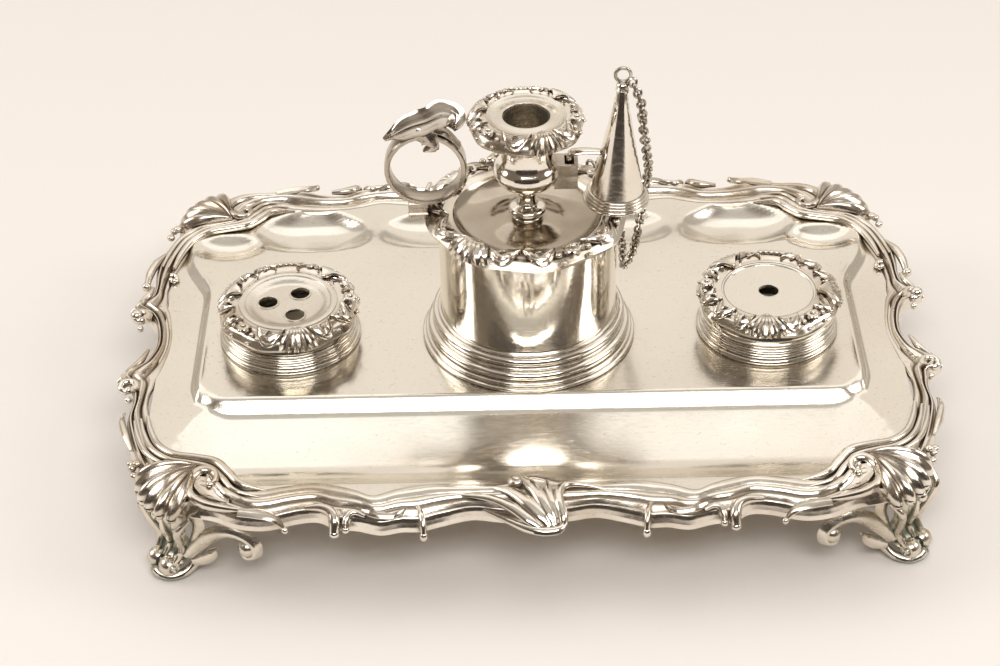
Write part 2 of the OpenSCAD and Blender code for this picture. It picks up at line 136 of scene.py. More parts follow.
def flatSheet(name, corners, finishName, colour, rough):
    data = bpy.data.meshes.new(name)
    data.from_pydata(corners, [], [(0, 1, 2, 3)])
    m = bpy.data.materials.new(finishName)
    m.use_nodes = True
    p = m.node_tree.nodes["Principled BSDF"]
    p.inputs["Base Color"].default_value = (*colour, 1)
    p.inputs["Roughness"].default_value = rough
    data.materials.append(m)
    o = bpy.data.objects.new(name, data)
    bpy.context.scene.collection.objects.link(o)
    return o


def addFloorAndCard(s):
    size = s["floorSize"]
    flatSheet("floor", [(-size, -size, 0), (size, -size, 0), (size, size, 0), (-size, size, 0)],
              "paperFloor", s["floor"], 0.85)
    left, right, y, top = s["card"]
    card = flatSheet("darkCard", [(left, y, 0), (right, y, 0), (right, y, top), (left, y, top)],
                     "cardBlack", s["dark"], 0.5)
    # seen only in the silver, for the dark bands it picks up
    card.visible_camera = card.visible_diffuse = card.visible_shadow = card.visible_transmission = False


def addLamps():
    for name, place, aim, size, watts, colour in softboxes:
        lamp = bpy.data.lights.new(name, "AREA")
        lamp.shape, lamp.size, lamp.size_y = "RECTANGLE", size[0], size[1]
        lamp.energy, lamp.color = watts, colour
        o = bpy.data.objects.new(name, lamp)
        bpy.context.scene.collection.objects.link(o)
        o.location = place
        o.rotation_euler = (Vector(aim) - Vector(place)).to_track_quat("-Z", "Y").to_euler()


def addWorld(s):
    world = bpy.data.worlds.new("studio")
    bpy.context.scene.world = world
    world.use_nodes = True
    t = world.node_tree
    split = t.nodes.new("ShaderNodeSeparateXYZ")
    link(t, t.nodes.new("ShaderNodeTexCoord").outputs["Generated"], split.inputs[0])
    walls = mixColour(t, rangeNode(t, split.outputs["Y"], -0.35, 0.35, soft=True), s["front"], s["back"])
    sky = mixColour(t, rangeNode(t, split.outputs["Z"], 0.8, 0.97, soft=True), walls, s["overhead"])
    dim = 1.0  # a dark patch low in front, as an unlit part of the room gives
    for source, edge, full in ((maths(t, "ABSOLUTE", split.outputs["X"], 0.0), 0.62, 0.34),
                               (split.outputs["Z"], 0.50, 0.34), (split.outputs["Z"], -0.55, -0.35),
                               (split.outputs["Y"], -0.55, -0.75)):
        dim = maths(t, "MULTIPLY", dim, rangeNode(t, source, edge, full, soft=True))
    link(t, mixColour(t, dim, sky, s["dark"]), t.nodes["Background"].inputs["Color"])
    t.nodes["Background"].inputs["Strength"].default_value = s["worldLevel"]
    bpy.context.scene.view_settings.view_transform = "Standard"


addCamera(cameraSet)
addFloorAndCard(studio)
addLamps()
addWorld(studio)
print("camera, floor and lights placed")


# finishes

# each finish's tarnish amount sets how far an AO mask darkens its hollows: partly tarnish, partly painted
# shade
finishes = {
    "trayPlate": {"colour": (0.87, 0.83, 0.755), "dull": (0.79, 0.735, 0.65), "rough": (0.13, 0.22),
                  "cloud": 14, "scratch": 0.025, "tarnishAndShade": 0.25},
    "castSilver": {"colour": (0.86, 0.81, 0.73), "dull": (0.55, 0.465, 0.365), "rough": (0.10, 0.24),
                   "cloud": 40, "scratch": 0.06, "tarnishAndShade": 0.85},
    "footSilver": {"colour": (0.80, 0.74, 0.65), "dull": (0.50, 0.44, 0.34), "rough": (0.14, 0.32),
                   "cloud": 60, "scratch": 0.08, "tarnishAndShade": 1.0, "verdigrisAndShade": (0.36, 0.40, 0.33)},
    "polished": {"colour": (0.89, 0.85, 0.78), "dull": (0.78, 0.72, 0.62), "rough": (0.05, 0.13),
                 "cloud": 25, "scratch": 0.04, "tarnishAndShade": 0.5},
    "panSilver": {"colour": (0.50, 0.435, 0.355), "dull": (0.33, 0.275, 0.21), "rough": (0.09, 0.18),
                  "cloud": 30, "scratch": 0.08, "tarnishAndShade": 0.5},
    "dullPlate": {"colour": (0.78, 0.73, 0.65), "dull": (0.60, 0.54, 0.45), "rough": (0.22, 0.36),
                  "cloud": 35, "scratch": 0.10, "tarnishAndShade": 0.5},
    "wornSilver": {"colour": (0.56, 0.50, 0.43), "dull": (0.34, 0.29, 0.23), "rough": (0.16, 0.28),
                   "cloud": 45, "scratch": 0.10, "tarnishAndShade": 0.8},
    "chainSilver": {"colour": (0.62, 0.57, 0.50), "dull": (0.34, 0.29, 0.23), "rough": (0.18, 0.34),
                    "cloud": 120, "scratch": 0.05, "tarnishAndShade": 1.0},
}


# the last colour here is laid into the hollows by the AO mask: tarnish, and painted shade as well
grain = {"pits": 900, "wipes": 260, "wipeStretch": (1.0, 7.0, 4.0), "hollowReach": 0.0035, "bumpDeep": 0.0002,
         "grime": (0.45, 0.37, 0.29), "tarnishAndShadeColour": (0.20, 0.145, 0.10)}


def silverFinish(name, s):
    m = bpy.data.materials.new(name)
    m.use_nodes = True
    t = m.node_tree
    p = t.nodes["Principled BSDF"]
    p.inputs["Metallic"].default_value = 1.0
    where = t.nodes.new("ShaderNodeTexCoord").outputs["Object"]
    cloud = noiseNode(t, where, s["cloud"], 5)  # slow drift of polish
    speck = noiseNode(t, where, grain["pits"], 2)  # fine pits and wipes
    wipe = noiseNode(t, where, grain["wipes"], 3, grain["wipeStretch"])  # long fine scratches
    # painted shade: an ambient occlusion mask darkens the base colour in creases and hollows, where the
    # render already shades them; the same darkening stands for the tarnish there
    hollow = t.nodes.new("ShaderNodeAmbientOcclusion")
    hollow.inputs["Distance"].default_value = grain["hollowReach"]
    hollow.samples = 6
    deep = rangeNode(t, hollow.outputs["AO"], 0.25, 0.8, 1.0, 0.0)
    deep = maths(t, "MULTIPLY", deep, s["tarnishAndShade"])
    tone = mixColour(t, rangeNode(t, cloud, 0.42, 0.72), s["colour"], s["dull"])
    worn = mixColour(t, rangeNode(t, speck, 0.62, 0.80, 0.0, 0.35), tone, grain["grime"])
    # hollows take the dark tarnish colour (greenish verdigris on the feet), which is painted shade as well as
    # patina
    link(t, mixColour(t, deep, worn, s.get("verdigrisAndShade", grain["tarnishAndShadeColour"])), p.inputs["Base Color"])
    rough = rangeNode(t, cloud, 0.35, 0.7, *s["rough"])
    rough = maths(t, "ADD", rough, rangeNode(t, wipe, 0.45, 0.75, 0.0, 0.10))
    rough = maths(t, "ADD", rough, maths(t, "MULTIPLY", deep, 0.35))
    link(t, rough, p.inputs["Roughness"])
    bump = t.nodes.new("ShaderNodeBump")
    bump.inputs["Strength"].default_value = s["scratch"]
    bump.inputs["Distance"].default_value = grain["bumpDeep"]
    link(t, maths(t, "ADD", wipe, maths(t, "MULTIPLY", speck, 0.6)), bump.inputs["Height"])
    link(t, bump.outputs[0], p.inputs["Normal"])
    return m


metals = {name: silverFinish(name, s) for name, s in finishes.items()}


glassSet = {"pale": (0.62, 0.60, 0.52), "deep": (0.46, 0.43, 0.36), "rough": (0.03, 0.12), "clear": 0.9,
            "bend": 1.5}


def glassFinish(s):
    m = bpy.data.materials.new("oldGlass")
    m.use_nodes = True
    t = m.node_tree
    p = t.nodes["Principled BSDF"]
    where = t.nodes.new("ShaderNodeTexCoord").outputs["Object"]
    seed = noiseNode(t, where, 70, 3)
    link(t, mixColour(t, rangeNode(t, seed, 0.4, 0.7), s["pale"], s["deep"]), p.inputs["Base Color"])
    link(t, rangeNode(t, seed, 0.3, 0.7, *s["rough"]), p.inputs["Roughness"])
    p.inputs["Transmission Weight"].default_value = s["clear"]
    p.inputs["IOR"].default_value = s["bend"]
    bump = t.nodes.new("ShaderNodeBump")
    bump.inputs["Strength"].default_value, bump.inputs["Distance"].default_value = 0.2, 0.0004
    link(t, seed, bump.inputs["Height"])
    link(t, bump.outputs[0], p.inputs["Normal"])
    return m


metals["oldGlass"] = glassFinish(glassSet)
print("finishes made:", len(metals))


# mesh helpers; a part is (points in mm, faces)

def curve(points, steps):
    p = np.array(points, float)  # smooth curve through the points
    p = np.vstack([2 * p[0] - p[1], p, 2 * p[-1] - p[-2]])
    out = []
    for a, b, c, d in zip(p, p[1:], p[2:], p[3:]):
        for u in np.arange(steps) / steps:
            out.append(0.5 * (2 * b + (c - a) * u + (2 * a - 5 * b + 4 * c - d) * u**2
                              + (3 * b - a - 3 * c + d) * u**3))
    return np.array(out + [p[-2]])


def between(values, n):
    v = np.array(values, float)  # n values spread evenly along a list of key values
    return np.interp(np.linspace(0, 1, n), np.linspace(0, 1, len(v)), v)


def join(parts):
    points, faces, base = [], [], 0
    for v, f in parts:
        points.append(np.asarray(v, float))
        faces += [tuple(i + base for i in q) for q in f]
        base += len(v)
    return np.vstack(points), faces


def moved(part, at=(0, 0, 0), turn=(0, 0, 0), size=1.0, flip=False):
    v = np.array(part[0], float) * size  # turn is degrees about X, then Y, then Z
    faces = part[1]
    if flip:
        v[:, 0] *= -1
        faces = [q[::-1] for q in faces]
    for axis, a in enumerate(turn):
        if a:
            r = np.array(Matrix.Rotation(math.radians(a), 3, "XYZ"[axis]))
            v = v @ r.T
    return v + np.array(at), faces


def mirrored(part, x=False, y=False):
    v, faces = np.array(part[0], float), part[1]
    for k, on in enumerate((x, y)):
        if on:
            v[:, k] *= -1
            faces = [q[::-1] for q in faces]
    return v, faces


def loft(rings, closed=True, caps=True):
    rings = np.array(rings, float)  # skins a row of rings, each with the same number of points
    n, m = rings.shape[:2]
    faces = []
    for i in range(n - 1):
        for j in range(m if closed else m - 1):
            k = (j + 1) % m
            faces.append((i * m + j, i * m + k, (i + 1) * m + k, (i + 1) * m + j))
    if caps:
        faces += [tuple(range(m))[::-1], tuple((n - 1) * m + j for j in range(m))]
    return rings.reshape(-1, 3), faces


def lathe(profile, steps=96, shape=None):
    p = np.array(profile, float)  # closed outline in (radius, height), turned about Z
    rings = []
    for k in range(steps):
        a = tau * k / steps
        q = shape(a, p.copy()) if shape else p
        rings.append([(r * math.cos(a), r * math.sin(a), z) for r, z in q])
    v = np.array(rings).reshape(-1, 3)
    m = len(p)
    faces = [(i * m + j, ((i + 1) % steps) * m + j, ((i + 1) % steps) * m + (j + 1) % m, i * m + (j + 1) % m)
             for i in range(steps) for j in range(m)]
    return v, faces


def frames(path, up):
    d = np.gradient(path, axis=0)  # sideways and upward directions at each point of a path
    d /= np.linalg.norm(d, axis=1)[:, None]
    up = np.array(up, float)
    side = np.cross(d, up)
    side /= np.maximum(np.linalg.norm(side, axis=1), 1e-9)[:, None]
    return side, np.cross(side, d)


def tube(path, wide, tall=None, up=(0, 0, 1), sides=10, reeds=0, reedDeep=0.14):
    path = np.array(path, float)
    n = len(path)
    wide = between(wide, n) if np.ndim(wide) else np.full(n, wide)
    tall = wide if tall is None else (between(tall, n) if np.ndim(tall) else np.full(n, tall))
    side, top = frames(path, up)
    rings = []
    for i in range(n):
        ring = []
        for k in range(sides):
            a = tau * k / sides
            grow = 1 - reedDeep * (0.5 - 0.5 * math.cos(reeds * a)) if reeds else 1
            ring.append(path[i] + side[i] * wide[i] * math.cos(a) * grow + top[i] * tall[i] * math.sin(a)
                        * grow)
        rings.append(ring)
    return loft(rings)


def ring(r, z, wire, steps=96, sides=10, centre=(0, 0)):
    return moved(lathe([(r + wire * math.cos(tau * k / sides), z + wire * math.sin(tau * k / sides))
                        for k in range(sides)], steps), (*centre, 0))


def ball(at, r, squash=1.0, n=12):
    rows = []
    for i in range(1, n):
        a = math.pi * i / n
        rows.append([(r * math.sin(a) * math.cos(tau * k / n), r * math.sin(a) * math.sin(tau * k / n),
                      -r * squash * math.cos(a)) for k in range(n)])
    return moved(loft(rows), at)


def spiral(centre, r0, r1, a0, a1, steps=22, z0=0.0, z1=0.0):
    out = []  # a flat scroll from radius r0 in to r1, angles in degrees
    for u in np.linspace(0, 1, steps):
        a, r = math.radians(a0 + (a1 - a0) * u), r0 + (r1 - r0) * u
        out.append((centre[0] + r * math.cos(a), centre[1] + r * math.sin(a), z0 + (z1 - z0) * u))
    return np.array(out)


def leaf(path, wide, crown=0.6, lobes=4, cut=0.25, thick=0.7, cup=0.0, up=(0, 0, 1), across=9, veins=1):
    path = np.array(path, float)  # a pointed or round leaf laid along the path
    n = len(path)
    wide = between(wide, n)
    side, top = frames(path, up)
    upper, lower = [], []
    for i in range(n):
        u = i / (n - 1)
        edge = wide[i] * (1 - cut * abs(math.sin(math.pi * lobes * u)) ** 2) if lobes else wide[i]
        rowA, rowB = [], []
        for k in range(across):
            f = 2 * k / (across - 1) - 1
            rise = crown * math.cos(f * math.pi / 2) + cup * f * f
            rise -= 0.35 * crown * math.exp(-(f * 6) ** 2) if veins == 1 else 0
            rise += 0.22 * crown * math.cos(veins * math.pi * f) if veins > 1 else 0
            mid = path[i] + side[i] * edge * f
            rowA.append(mid + top[i] * rise)
            rowB.append(mid + top[i] * (cup * f * f - thick * (1 - 0.8 * f * f)))
        upper.append(rowA)
        lower.append(rowB[::-1])
    return loft([a + b for a, b in zip(upper, lower)])


made = []


def addPiece(name, part, metal, body, replaced, crease=38):
    v, faces = part
    data = bpy.data.meshes.new(name)
    data.from_pydata((np.asarray(v) * mm).tolist(), [], faces)
    data.validate()
    data.polygons.foreach_set("use_smooth", [True] * len(data.polygons))
    data.set_sharp_from_angle(angle=math.radians(crease))
    data.update()
    o = bpy.data.objects.new(name, data)
    bpy.context.scene.collection.objects.link(o)
    data.materials.append(metals[metal])
    if body:
        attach(o, body)
    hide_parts(*replaced)
    made.append(o)
    return o


# tray sheet

traySet = {"platform": 36.0, "flat": 33.0, "frontY": -37.0, "backY": 47.0, "sideX": 116.0,
           "frontDeep": 6.8, "lowLine": -0.3, "sheet": 1.1, "stepX": 1.5, "stepY": 1.3, "holeR": 21.2}
wellX = (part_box("collar_right")[0].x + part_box("collar_right")[1].x) / 2 / mm
lobes = [  # middle x, middle y, half length, half width, depth, squareness
    (82.0, 68.0, 22.5, 15.5, 6.8, 2.6), (113.5, 57.5, 13.5, 9.5, 4.6, 2.3),
    (28.0, 68.5, 28.0, 14.5, 6.0, 2.8)]


def smoothStep(x, a, b):
    u = np.clip((x - a) / (b - a), 0, 1)
    return u * u * (3 - 2 * u)


def trayHeight(x, y):
    s = traySet
    ax = np.abs(x)
    # the plain surface: platform, its drop at the sides, and the falls to front and back
    cornerX = np.maximum(ax - (s["sideX"] - 11), 0)
    cornerY = np.maximum(-(y - (s["frontY"] + 11)), 0)
    round1 = np.hypot(cornerX, cornerY) - 11  # > 0 outside the platform's front corners
    flare = 9 * smoothStep(y, 24, 50)
    out = np.where(y < s["frontY"] + 11, round1, ax - s["sideX"] - flare)
    side = s["flat"] + (s["platform"] - s["flat"]) * (1 - smoothStep(out, 0.2, 5.5))
    rib = 0.9 * np.exp(-((ax - s["sideX"] - 1.4 - flare) / 1.1) ** 2)
    rib = rib * smoothStep(y, -38, -33) * (1 - smoothStep(y, 34, 50))
    back = s["platform"] - 2.9 * smoothStep(y, s["backY"], 84)
    z = np.minimum(side, back) + rib
    fall = s["platform"] - 3.4 * np.clip((s["frontY"] - y) / 44, 0, 1)
    z = np.where(y < s["frontY"], np.minimum(z, fall), z)
    # long front trough with bowed round ends
    v = (y + 58.9) / 21.6
    low = s["lowLine"]
    across = np.where(v > low, np.abs((v - low) / (1 - low)) ** 1.5, ((v - low) / (1 + low)) ** 2)
    half = 106 - 3 * np.cos(np.clip((y + 59) / 21, -1, 1) * math.pi / 2)
    u = np.maximum(ax - half, 0) / (21.5 - 2.5 * smoothStep(y, -62, -78))
    z = z - s["frontDeep"] * (1 - np.clip(u * u + across, 0, 1))
    # lobes along the back, with ridges left between them
    for cx, cy, a, b, deep, power in lobes:
        bow = 0.0 if cx > 100 else 2.4 * np.cos((ax - cx) / a * math.pi)
        r = np.abs((ax - cx) / a) ** power + np.abs((y - cy - bow * smoothStep(y, 60, 84)) / b) ** power
        z = z - deep * np.clip(1 - r, 0, 1)
    return z


def trayEdge(x, y):
    return np.hypot(np.maximum(np.abs(x) - 112, 0), np.maximum(np.abs(y) - 67.5, 0)) - 21.5


def gridSheet(gridX, gridY, inside, circles, height, thick):
    # a sheet over the grid cells that lie inside; each circle (x, y, radius, from, to)
    # pulls the ragged edge onto itself
    cells = inside[:-1, :-1] & inside[1:, :-1] & inside[:-1, 1:] & inside[1:, 1:]
    touch = np.zeros(gridX.shape, int)
    for i, j in ((0, 0), (1, 0), (0, 1), (1, 1)):
        touch[i:gridX.shape[0] - 1 + i, j:gridX.shape[1] - 1 + j] += cells
    used = touch > 0
    rim = used & (touch < 4)
    for cx, cy, r, least, most in circles:
        d = np.hypot(gridX - cx, gridY - cy)
        near = rim & (d > least) & (d < most)
        pull = np.where(near, r / np.maximum(d, 0.1), 1)
        gridX, gridY = cx + (gridX - cx) * pull, cy + (gridY - cy) * pull
    number = np.cumsum(used).reshape(used.shape) - 1
    top = np.column_stack([gridX[used], gridY[used], height(gridX, gridY)[used]])
    n, faces, edges = len(top), [], {}
    for i, j in zip(*np.nonzero(cells)):
        q = [int(number[i, j]), int(number[i + 1, j]), int(number[i + 1, j + 1]), int(number[i, j + 1])]
        faces += [tuple(q), tuple(k + n for k in q[::-1])]
        for a, b in zip(q, q[1:] + q[:1]):
            if edges.pop((b, a), None) is None:
                edges[(a, b)] = 1
    faces += [(b, a, a + n, b + n) for a, b in edges]
    return np.vstack([top, top - (0, 0, thick)]), faces


def gridLines(a, b, step, close):
    out = list(np.arange(a, b + step / 2, step))  # even lines, with closer ones round each (place, reach)
    for c, reach in close:
        out += [c - reach, c - reach / 2, c, c + reach / 2, c + reach]
    out = np.unique(np.round(out, 2))
    keep = [out[0]]
    for q in out[1:]:
        if q - keep[-1] > 0.3:
            keep.append(q)
    return np.array(keep)


def trayPart(s):
    xs = gridLines(0, 134, s["stepX"], [(117.3, 1.6), (120, 1.2)])
    xs = np.concatenate([-xs[:0:-1], xs])
    ys = gridLines(-89, 89, s["stepY"], [(s["frontY"], 1.4), (-40.5, 1.0), (s["backY"] + 5, 1.5)])
    gridX, gridY = np.meshgrid(xs, ys, indexing="ij")
    inside = trayEdge(gridX, gridY) < 0.5
    for c in (-wellX, wellX):
        inside &= np.hypot(gridX - c, gridY) > s["holeR"] - 0.2
    wells = [(c, 0, s["holeR"], 0, s["holeR"] + 5) for c in (-wellX, wellX)]
    return gridSheet(gridX, gridY, inside, wells, trayHeight, s["sheet"])


addPiece("traySheet", trayPart(traySet), "trayPlate", "tray_body", ["tray"], crease=60)
print("tray sheet made")


# cast border: pairs of inner and outer points round one half, front to back

borderLine = [(0, -77.4, 0, -99), (5.5, -79.8, 6, -98.6), (13, -82.4, 13, -97.4), (24, -83, 21, -96.2),
              (34, -82, 31, -99.2), (40, -82.6, 38, -101.6), (47, -84.5, 44, -101.6), (54, -87.3, 51, -103),
              (60, -84.3, 59, -100.6), (67, -81.6, 66, -99.6), (75, -80.4, 72, -96), (85, -82, 79, -96.6),
              (92.4, -83.4, 87, -99.2), (98.6, -82, 93, -99.6), (102.6, -76.6, 100, -98),
              (107.4, -71, 108, -94), (114.5, -68.4, 119, -91), (122, -66.4, 129, -84),
              (127.6, -61, 133, -75), (130.8, -52.5, 136.6, -66), (133, -44, 139.4, -57),
              (134.6, -37, 141.4, -47), (134.8, -31, 140.6, -37), (134, -27, 141.6, -30.4),
              (133.4, -23.4, 143, -25), (132.8, -20.6, 147.4, -20.2), (132, -17.6, 144.6, -16.2),
              (131, -12, 139.4, -12), (130, -4, 136, -3.4), (130, 4, 136, 4.4), (131, 12, 137.8, 12.4),
              (132, 17.6, 140.4, 17), (132.8, 20.2, 143.6, 19.8), (133.4, 22.6, 147.2, 22.6),
              (133.8, 24.8, 144.4, 25.6), (134.2, 28, 141, 29), (134.6, 33, 140, 34.6),
              (133.4, 40, 140.6, 41.6), (131.5, 47, 140.6, 49), (129.4, 54, 139, 57), (126, 60, 136.4, 65),
              (120.5, 64, 133, 74), (114.5, 66, 129.5, 82), (110.5, 69, 122, 89.5), (109.6, 75, 115, 93.6),
              (108, 81, 109, 97.2), (103, 85.6, 101, 99.2), (96, 87, 92, 99.6), (89.5, 85, 85.5, 99.4),
              (80, 84, 79, 96.6), (70, 84.4, 71, 96), (63, 86, 65.3, 99.6), (57, 88, 59, 100.6),
              (49, 87.2, 50.5, 103), (41, 85.6, 43, 101.6), (35, 84.8, 37, 101.4), (24, 84.4, 30, 99),
              (12, 84.8, 19, 97.6), (0, 85.6, 0, 98.6)]
borderSet = {"base": 32.4, "steps": 5}
# share of the width, height over the base
borderShape = [(0.0, 0.2), (0.04, 0.8), (0.1, 1.2), (0.17, 1.3), (0.24, 1.0), (0.29, 0.3), (0.32, -0.1),
               (0.35, 0.6), (0.4, 1.9), (0.46, 2.7), (0.52, 2.9), (0.58, 2.5), (0.63, 1.4), (0.655, 0.5),
               (0.68, 1.0), (0.73, 2.0), (0.78, 2.1), (0.82, 1.4), (0.85, 0.75), (0.87, 0.7), (0.895, 0.9),
               (0.92, 0.5), (0.945, -0.7), (0.97, -2.0), (1.0, -3.3)]
borderUnder = [(0.995, -3.9), (0.9, -4.2), (0.8, -2.6), (0.6, -0.6), (0.3, -0.9), (0.0, -0.8)]


def borderPart(first, last, s):
    rows = curve(borderLine, s["steps"])[first * s["steps"]:last * s["steps"] + 1]
    rings = []
    for ix, iy, ox, oy in rows:
        wide = math.hypot(ox - ix, oy - iy)
        lift = 0.62 + 0.38 * min(1.0, wide / 16)
        rings.append([(ix + (ox - ix) * f, iy + (oy - iy) * f, s["base"] + (h * lift if h > 0 else h))
                      for f, h in borderShape + borderUnder])
    return loft(rings)


corner = (16, 42)  # the pairs where a corner shell covers the join
lastPair = len(borderLine) - 1
frontHalf, backHalf = borderPart(0, corner[0], borderSet), borderPart(corner[1], lastPair, borderSet)
sideRun = borderPart(corner[0], corner[1], borderSet)


def curlHook(centre, r, a0, a1, z, wire=1.6, drop=0.0):
    path = spiral(centre, r, r * 0.3, a0, a1, 22, z, z - drop)
    return join([tube(path, [wire * 1.1, wire, wire * 0.8, wire * 0.6],
                      [wire * 1.3, wire * 1.2, wire, wire * 0.7], sides=12),
                 ball(path[-1] + (0, 0, 0.3), wire * 0.95)])


def tipLeaf(points, wide, z):
    return leaf(curve([(x, y, z + dz) for x, y, dz in points], 5), wide, 1.0, 0, 0, 1.6)


def sideTrim(y):  # y moves the hooks along, as the two sides' don't stand quite level
    return join([
        curlHook((143.4, -26.6 + y), 3.9, 215, -130, 33.6, 1.5, 1.2), ball((142.4, -31.8 + y, 31.6), 1.3),
        tube(curve([(147.6, -20, 30.4), (143.6, -17, 33.2), (139.8, -12.4, 34.2), (137.6, -6, 34.4)], 6),
             [0.7, 1.1, 1.3, 0.6]),
        tube(curve([(137.6, -62, 33.4), (140.4, -55, 33.8), (142.6, -47, 33.4), (143.2, -41, 31.8),
                    (142.8, -38, 30.6)], 6),
             [0.6, 1.5, 1.4, 0.9, 0.3]),
        tube(curve([(147.4, 22.6, 30.4), (143.8, 24.4, 33.2), (141.2, 28, 34.2), (140, 33, 34.2)], 6),
             [0.7, 1.1, 1.3, 0.6]),
        curlHook((143.2, 15.8 + y), 3.3, 215, -120, 33.4, 1.7, 1.4), ball((144.6, 16.6 + y, 33.4), 2.4, 0.9),
        ball((142.8, 10.6 + y, 31.6), 1.3),
        tube(curve([(137.6, 55, 34.0), (140.4, 49, 34.2), (142.4, 43, 33.4), (143.2, 38, 31.8)], 6),
             [0.6, 1.6, 1.6, 1.2]),
        ball((143.2, 36.4, 32.2), 1.8), curlHook((133.4, 38.4), 2.2, 60, 330, 34.2, 1.0, 0.4)])


endTrim = [join([tube(curve([(76, -95.2, 34.6), (71, -95.4, 34.8), (67.4, -97.2, 34.2),
                             (66.2, -100.2, 32.4), (66.4, -102, 29.6)], 5),
                      [0.8, 1.5, 1.9, 2.0, 1.8]), ball((66.4, -102.1, 29.2), 1.9, 0.8),
                 tube(curve([(56, -99.6, 34.2), (60, -97.6, 34.4), (62.2, -99.6, 33.0),
                             (62.6, -102, 30.8)], 5),
                      [0.6, 1.2, 1.5, 1.2]), ball((62.6, -102.1, 30.6), 1.3),
                 tipLeaf([(57, -97, 1.0), (53, -99.4, 1.4), (47, -100, 1.2), (42.6, -97, 1.0)],
                         [0.8, 1.4, 1.4, 0.4], 33.4),
                 tube(curve([(38.6, -95.4, 34.2), (37.4, -99.8, 34.2), (36.9, -102.8, 32.6),
                             (36.8, -104.2, 30)], 5),
                      [0.9, 1.1, 1.0, 1.1]), ball((36.8, -104.4, 29), 1.5, 1.2),
                 tipLeaf([(98, -96, 1.0), (91, -97.8, 1.4), (86, -99.6, 0.6), (82.2, -103.4, -1.4)],
                         [2.2, 2.4, 1.6, 0.5], 33.2),
                 ball((82.4, -103.2, 31.8), 1.2)])]
endTrim.append(mirrored(endTrim[0], y=True))


def both(part):
    return join([part, mirrored(part, x=True)])


addPiece("borderFront", both(join([frontHalf, endTrim[0]])), "castSilver", "tray_body", ["border_front"])
addPiece("borderBack", both(join([backHalf, endTrim[1]])), "castSilver", "tray_body", ["border_back"])
for name, x, lift in (("Left", True, 0.0), ("Right", False, 5.0)):
    addPiece("border" + name, mirrored(join([sideRun, sideTrim(lift)]), x=x), "castSilver", "tray_body",
             ["border_" + name.lower()])

# folded leaf at the middle of the front border, with a rolled lip
frontLeafSet = {
    "z": 34.2,
    "folds": [([(-25, -90.2, 0.2), (-15, -92.6, 0.8), (-7.6, -96.8, 0.4), (-2, -101.4, -1.2),
                (2, -104, -3.0)],
               [0.5, 1.5, 2.1, 2.2, 1.3]), ([(-13, -87.6, 0.8), (-7, -91, 1.6), (-2, -96, 1.2),
              (2.4, -100.6, -0.8),
                (4.6, -103.6, -2.8)], [0.8, 2.2, 2.8, 2.6, 1.4]), ([(-3.6, -83.8, 1.4), (-0.8, -88.6, 2.4),
              (2.2, -94.4, 1.9), (4.8, -99.8, -0.2),
                (6.2, -103.2, -2.6)],
               [1.2, 2.2, 2.5, 2.2, 1.2]), ([(4.2, -84.6, 1.2), (4.6, -90.2, 1.8), (6.0, -96, 0.9),
              (7.4, -101, -1.4)],
               [0.6, 1.5, 1.6, 1.0])],
    "hook": [(24, -88.8, 0.4), (17, -87.4, 1.2), (11, -87.8, 1.8), (8.2, -91, 1.8), (8.2, -96.2, 0.9),
             (9.4, -100.6, -1.0), (9.2, -103, -2.6)],
    "lip": [(-17, -95.6, -1.8), (-10, -99.4, -2.7), (-3, -103.4, -3.2), (3, -105, -3.4),
            (7.6, -104.4, -3.2), (10.2, -102, -2.4)]}


def frontLeafPart(s):
    z = s["z"]
    folds = []
    for points, wide in s["folds"]:
        path = curve([(x, y, z + dz) for x, y, dz in points], 7)
        folds.append(tube(path, wide, [0.55 * w + 0.35 for w in wide], sides=18, reeds=3, reedDeep=0.05))
    hook = tube(curve([(x, y, z + dz) for x, y, dz in s["hook"]], 6), [0.5, 1.0, 1.4, 1.8, 1.9, 1.7, 1.1])
    lip = tube(curve([(x, y, z + dz) for x, y, dz in s["lip"]], 6), [0.4, 1.0, 1.5, 1.9, 1.8, 0.9],
               [0.5, 1.1, 1.5, 1.6, 1.5, 0.9])
    return join(folds + [hook, lip, curlHook((-6.2, -84.4), 2.2, 320, 60, z + 1.4, 1.2, 0.2)])


addPiece("frontLeaf", frontLeafPart(frontLeafSet), "castSilver", "tray_body", ["front_leaf"])
print("borders made")


# corner shells

shellSet = {"root": (113.8, 75.0, 34.6), "lobes": 6, "from": -6, "to": 80, "reach": (20.5, 22.5)}


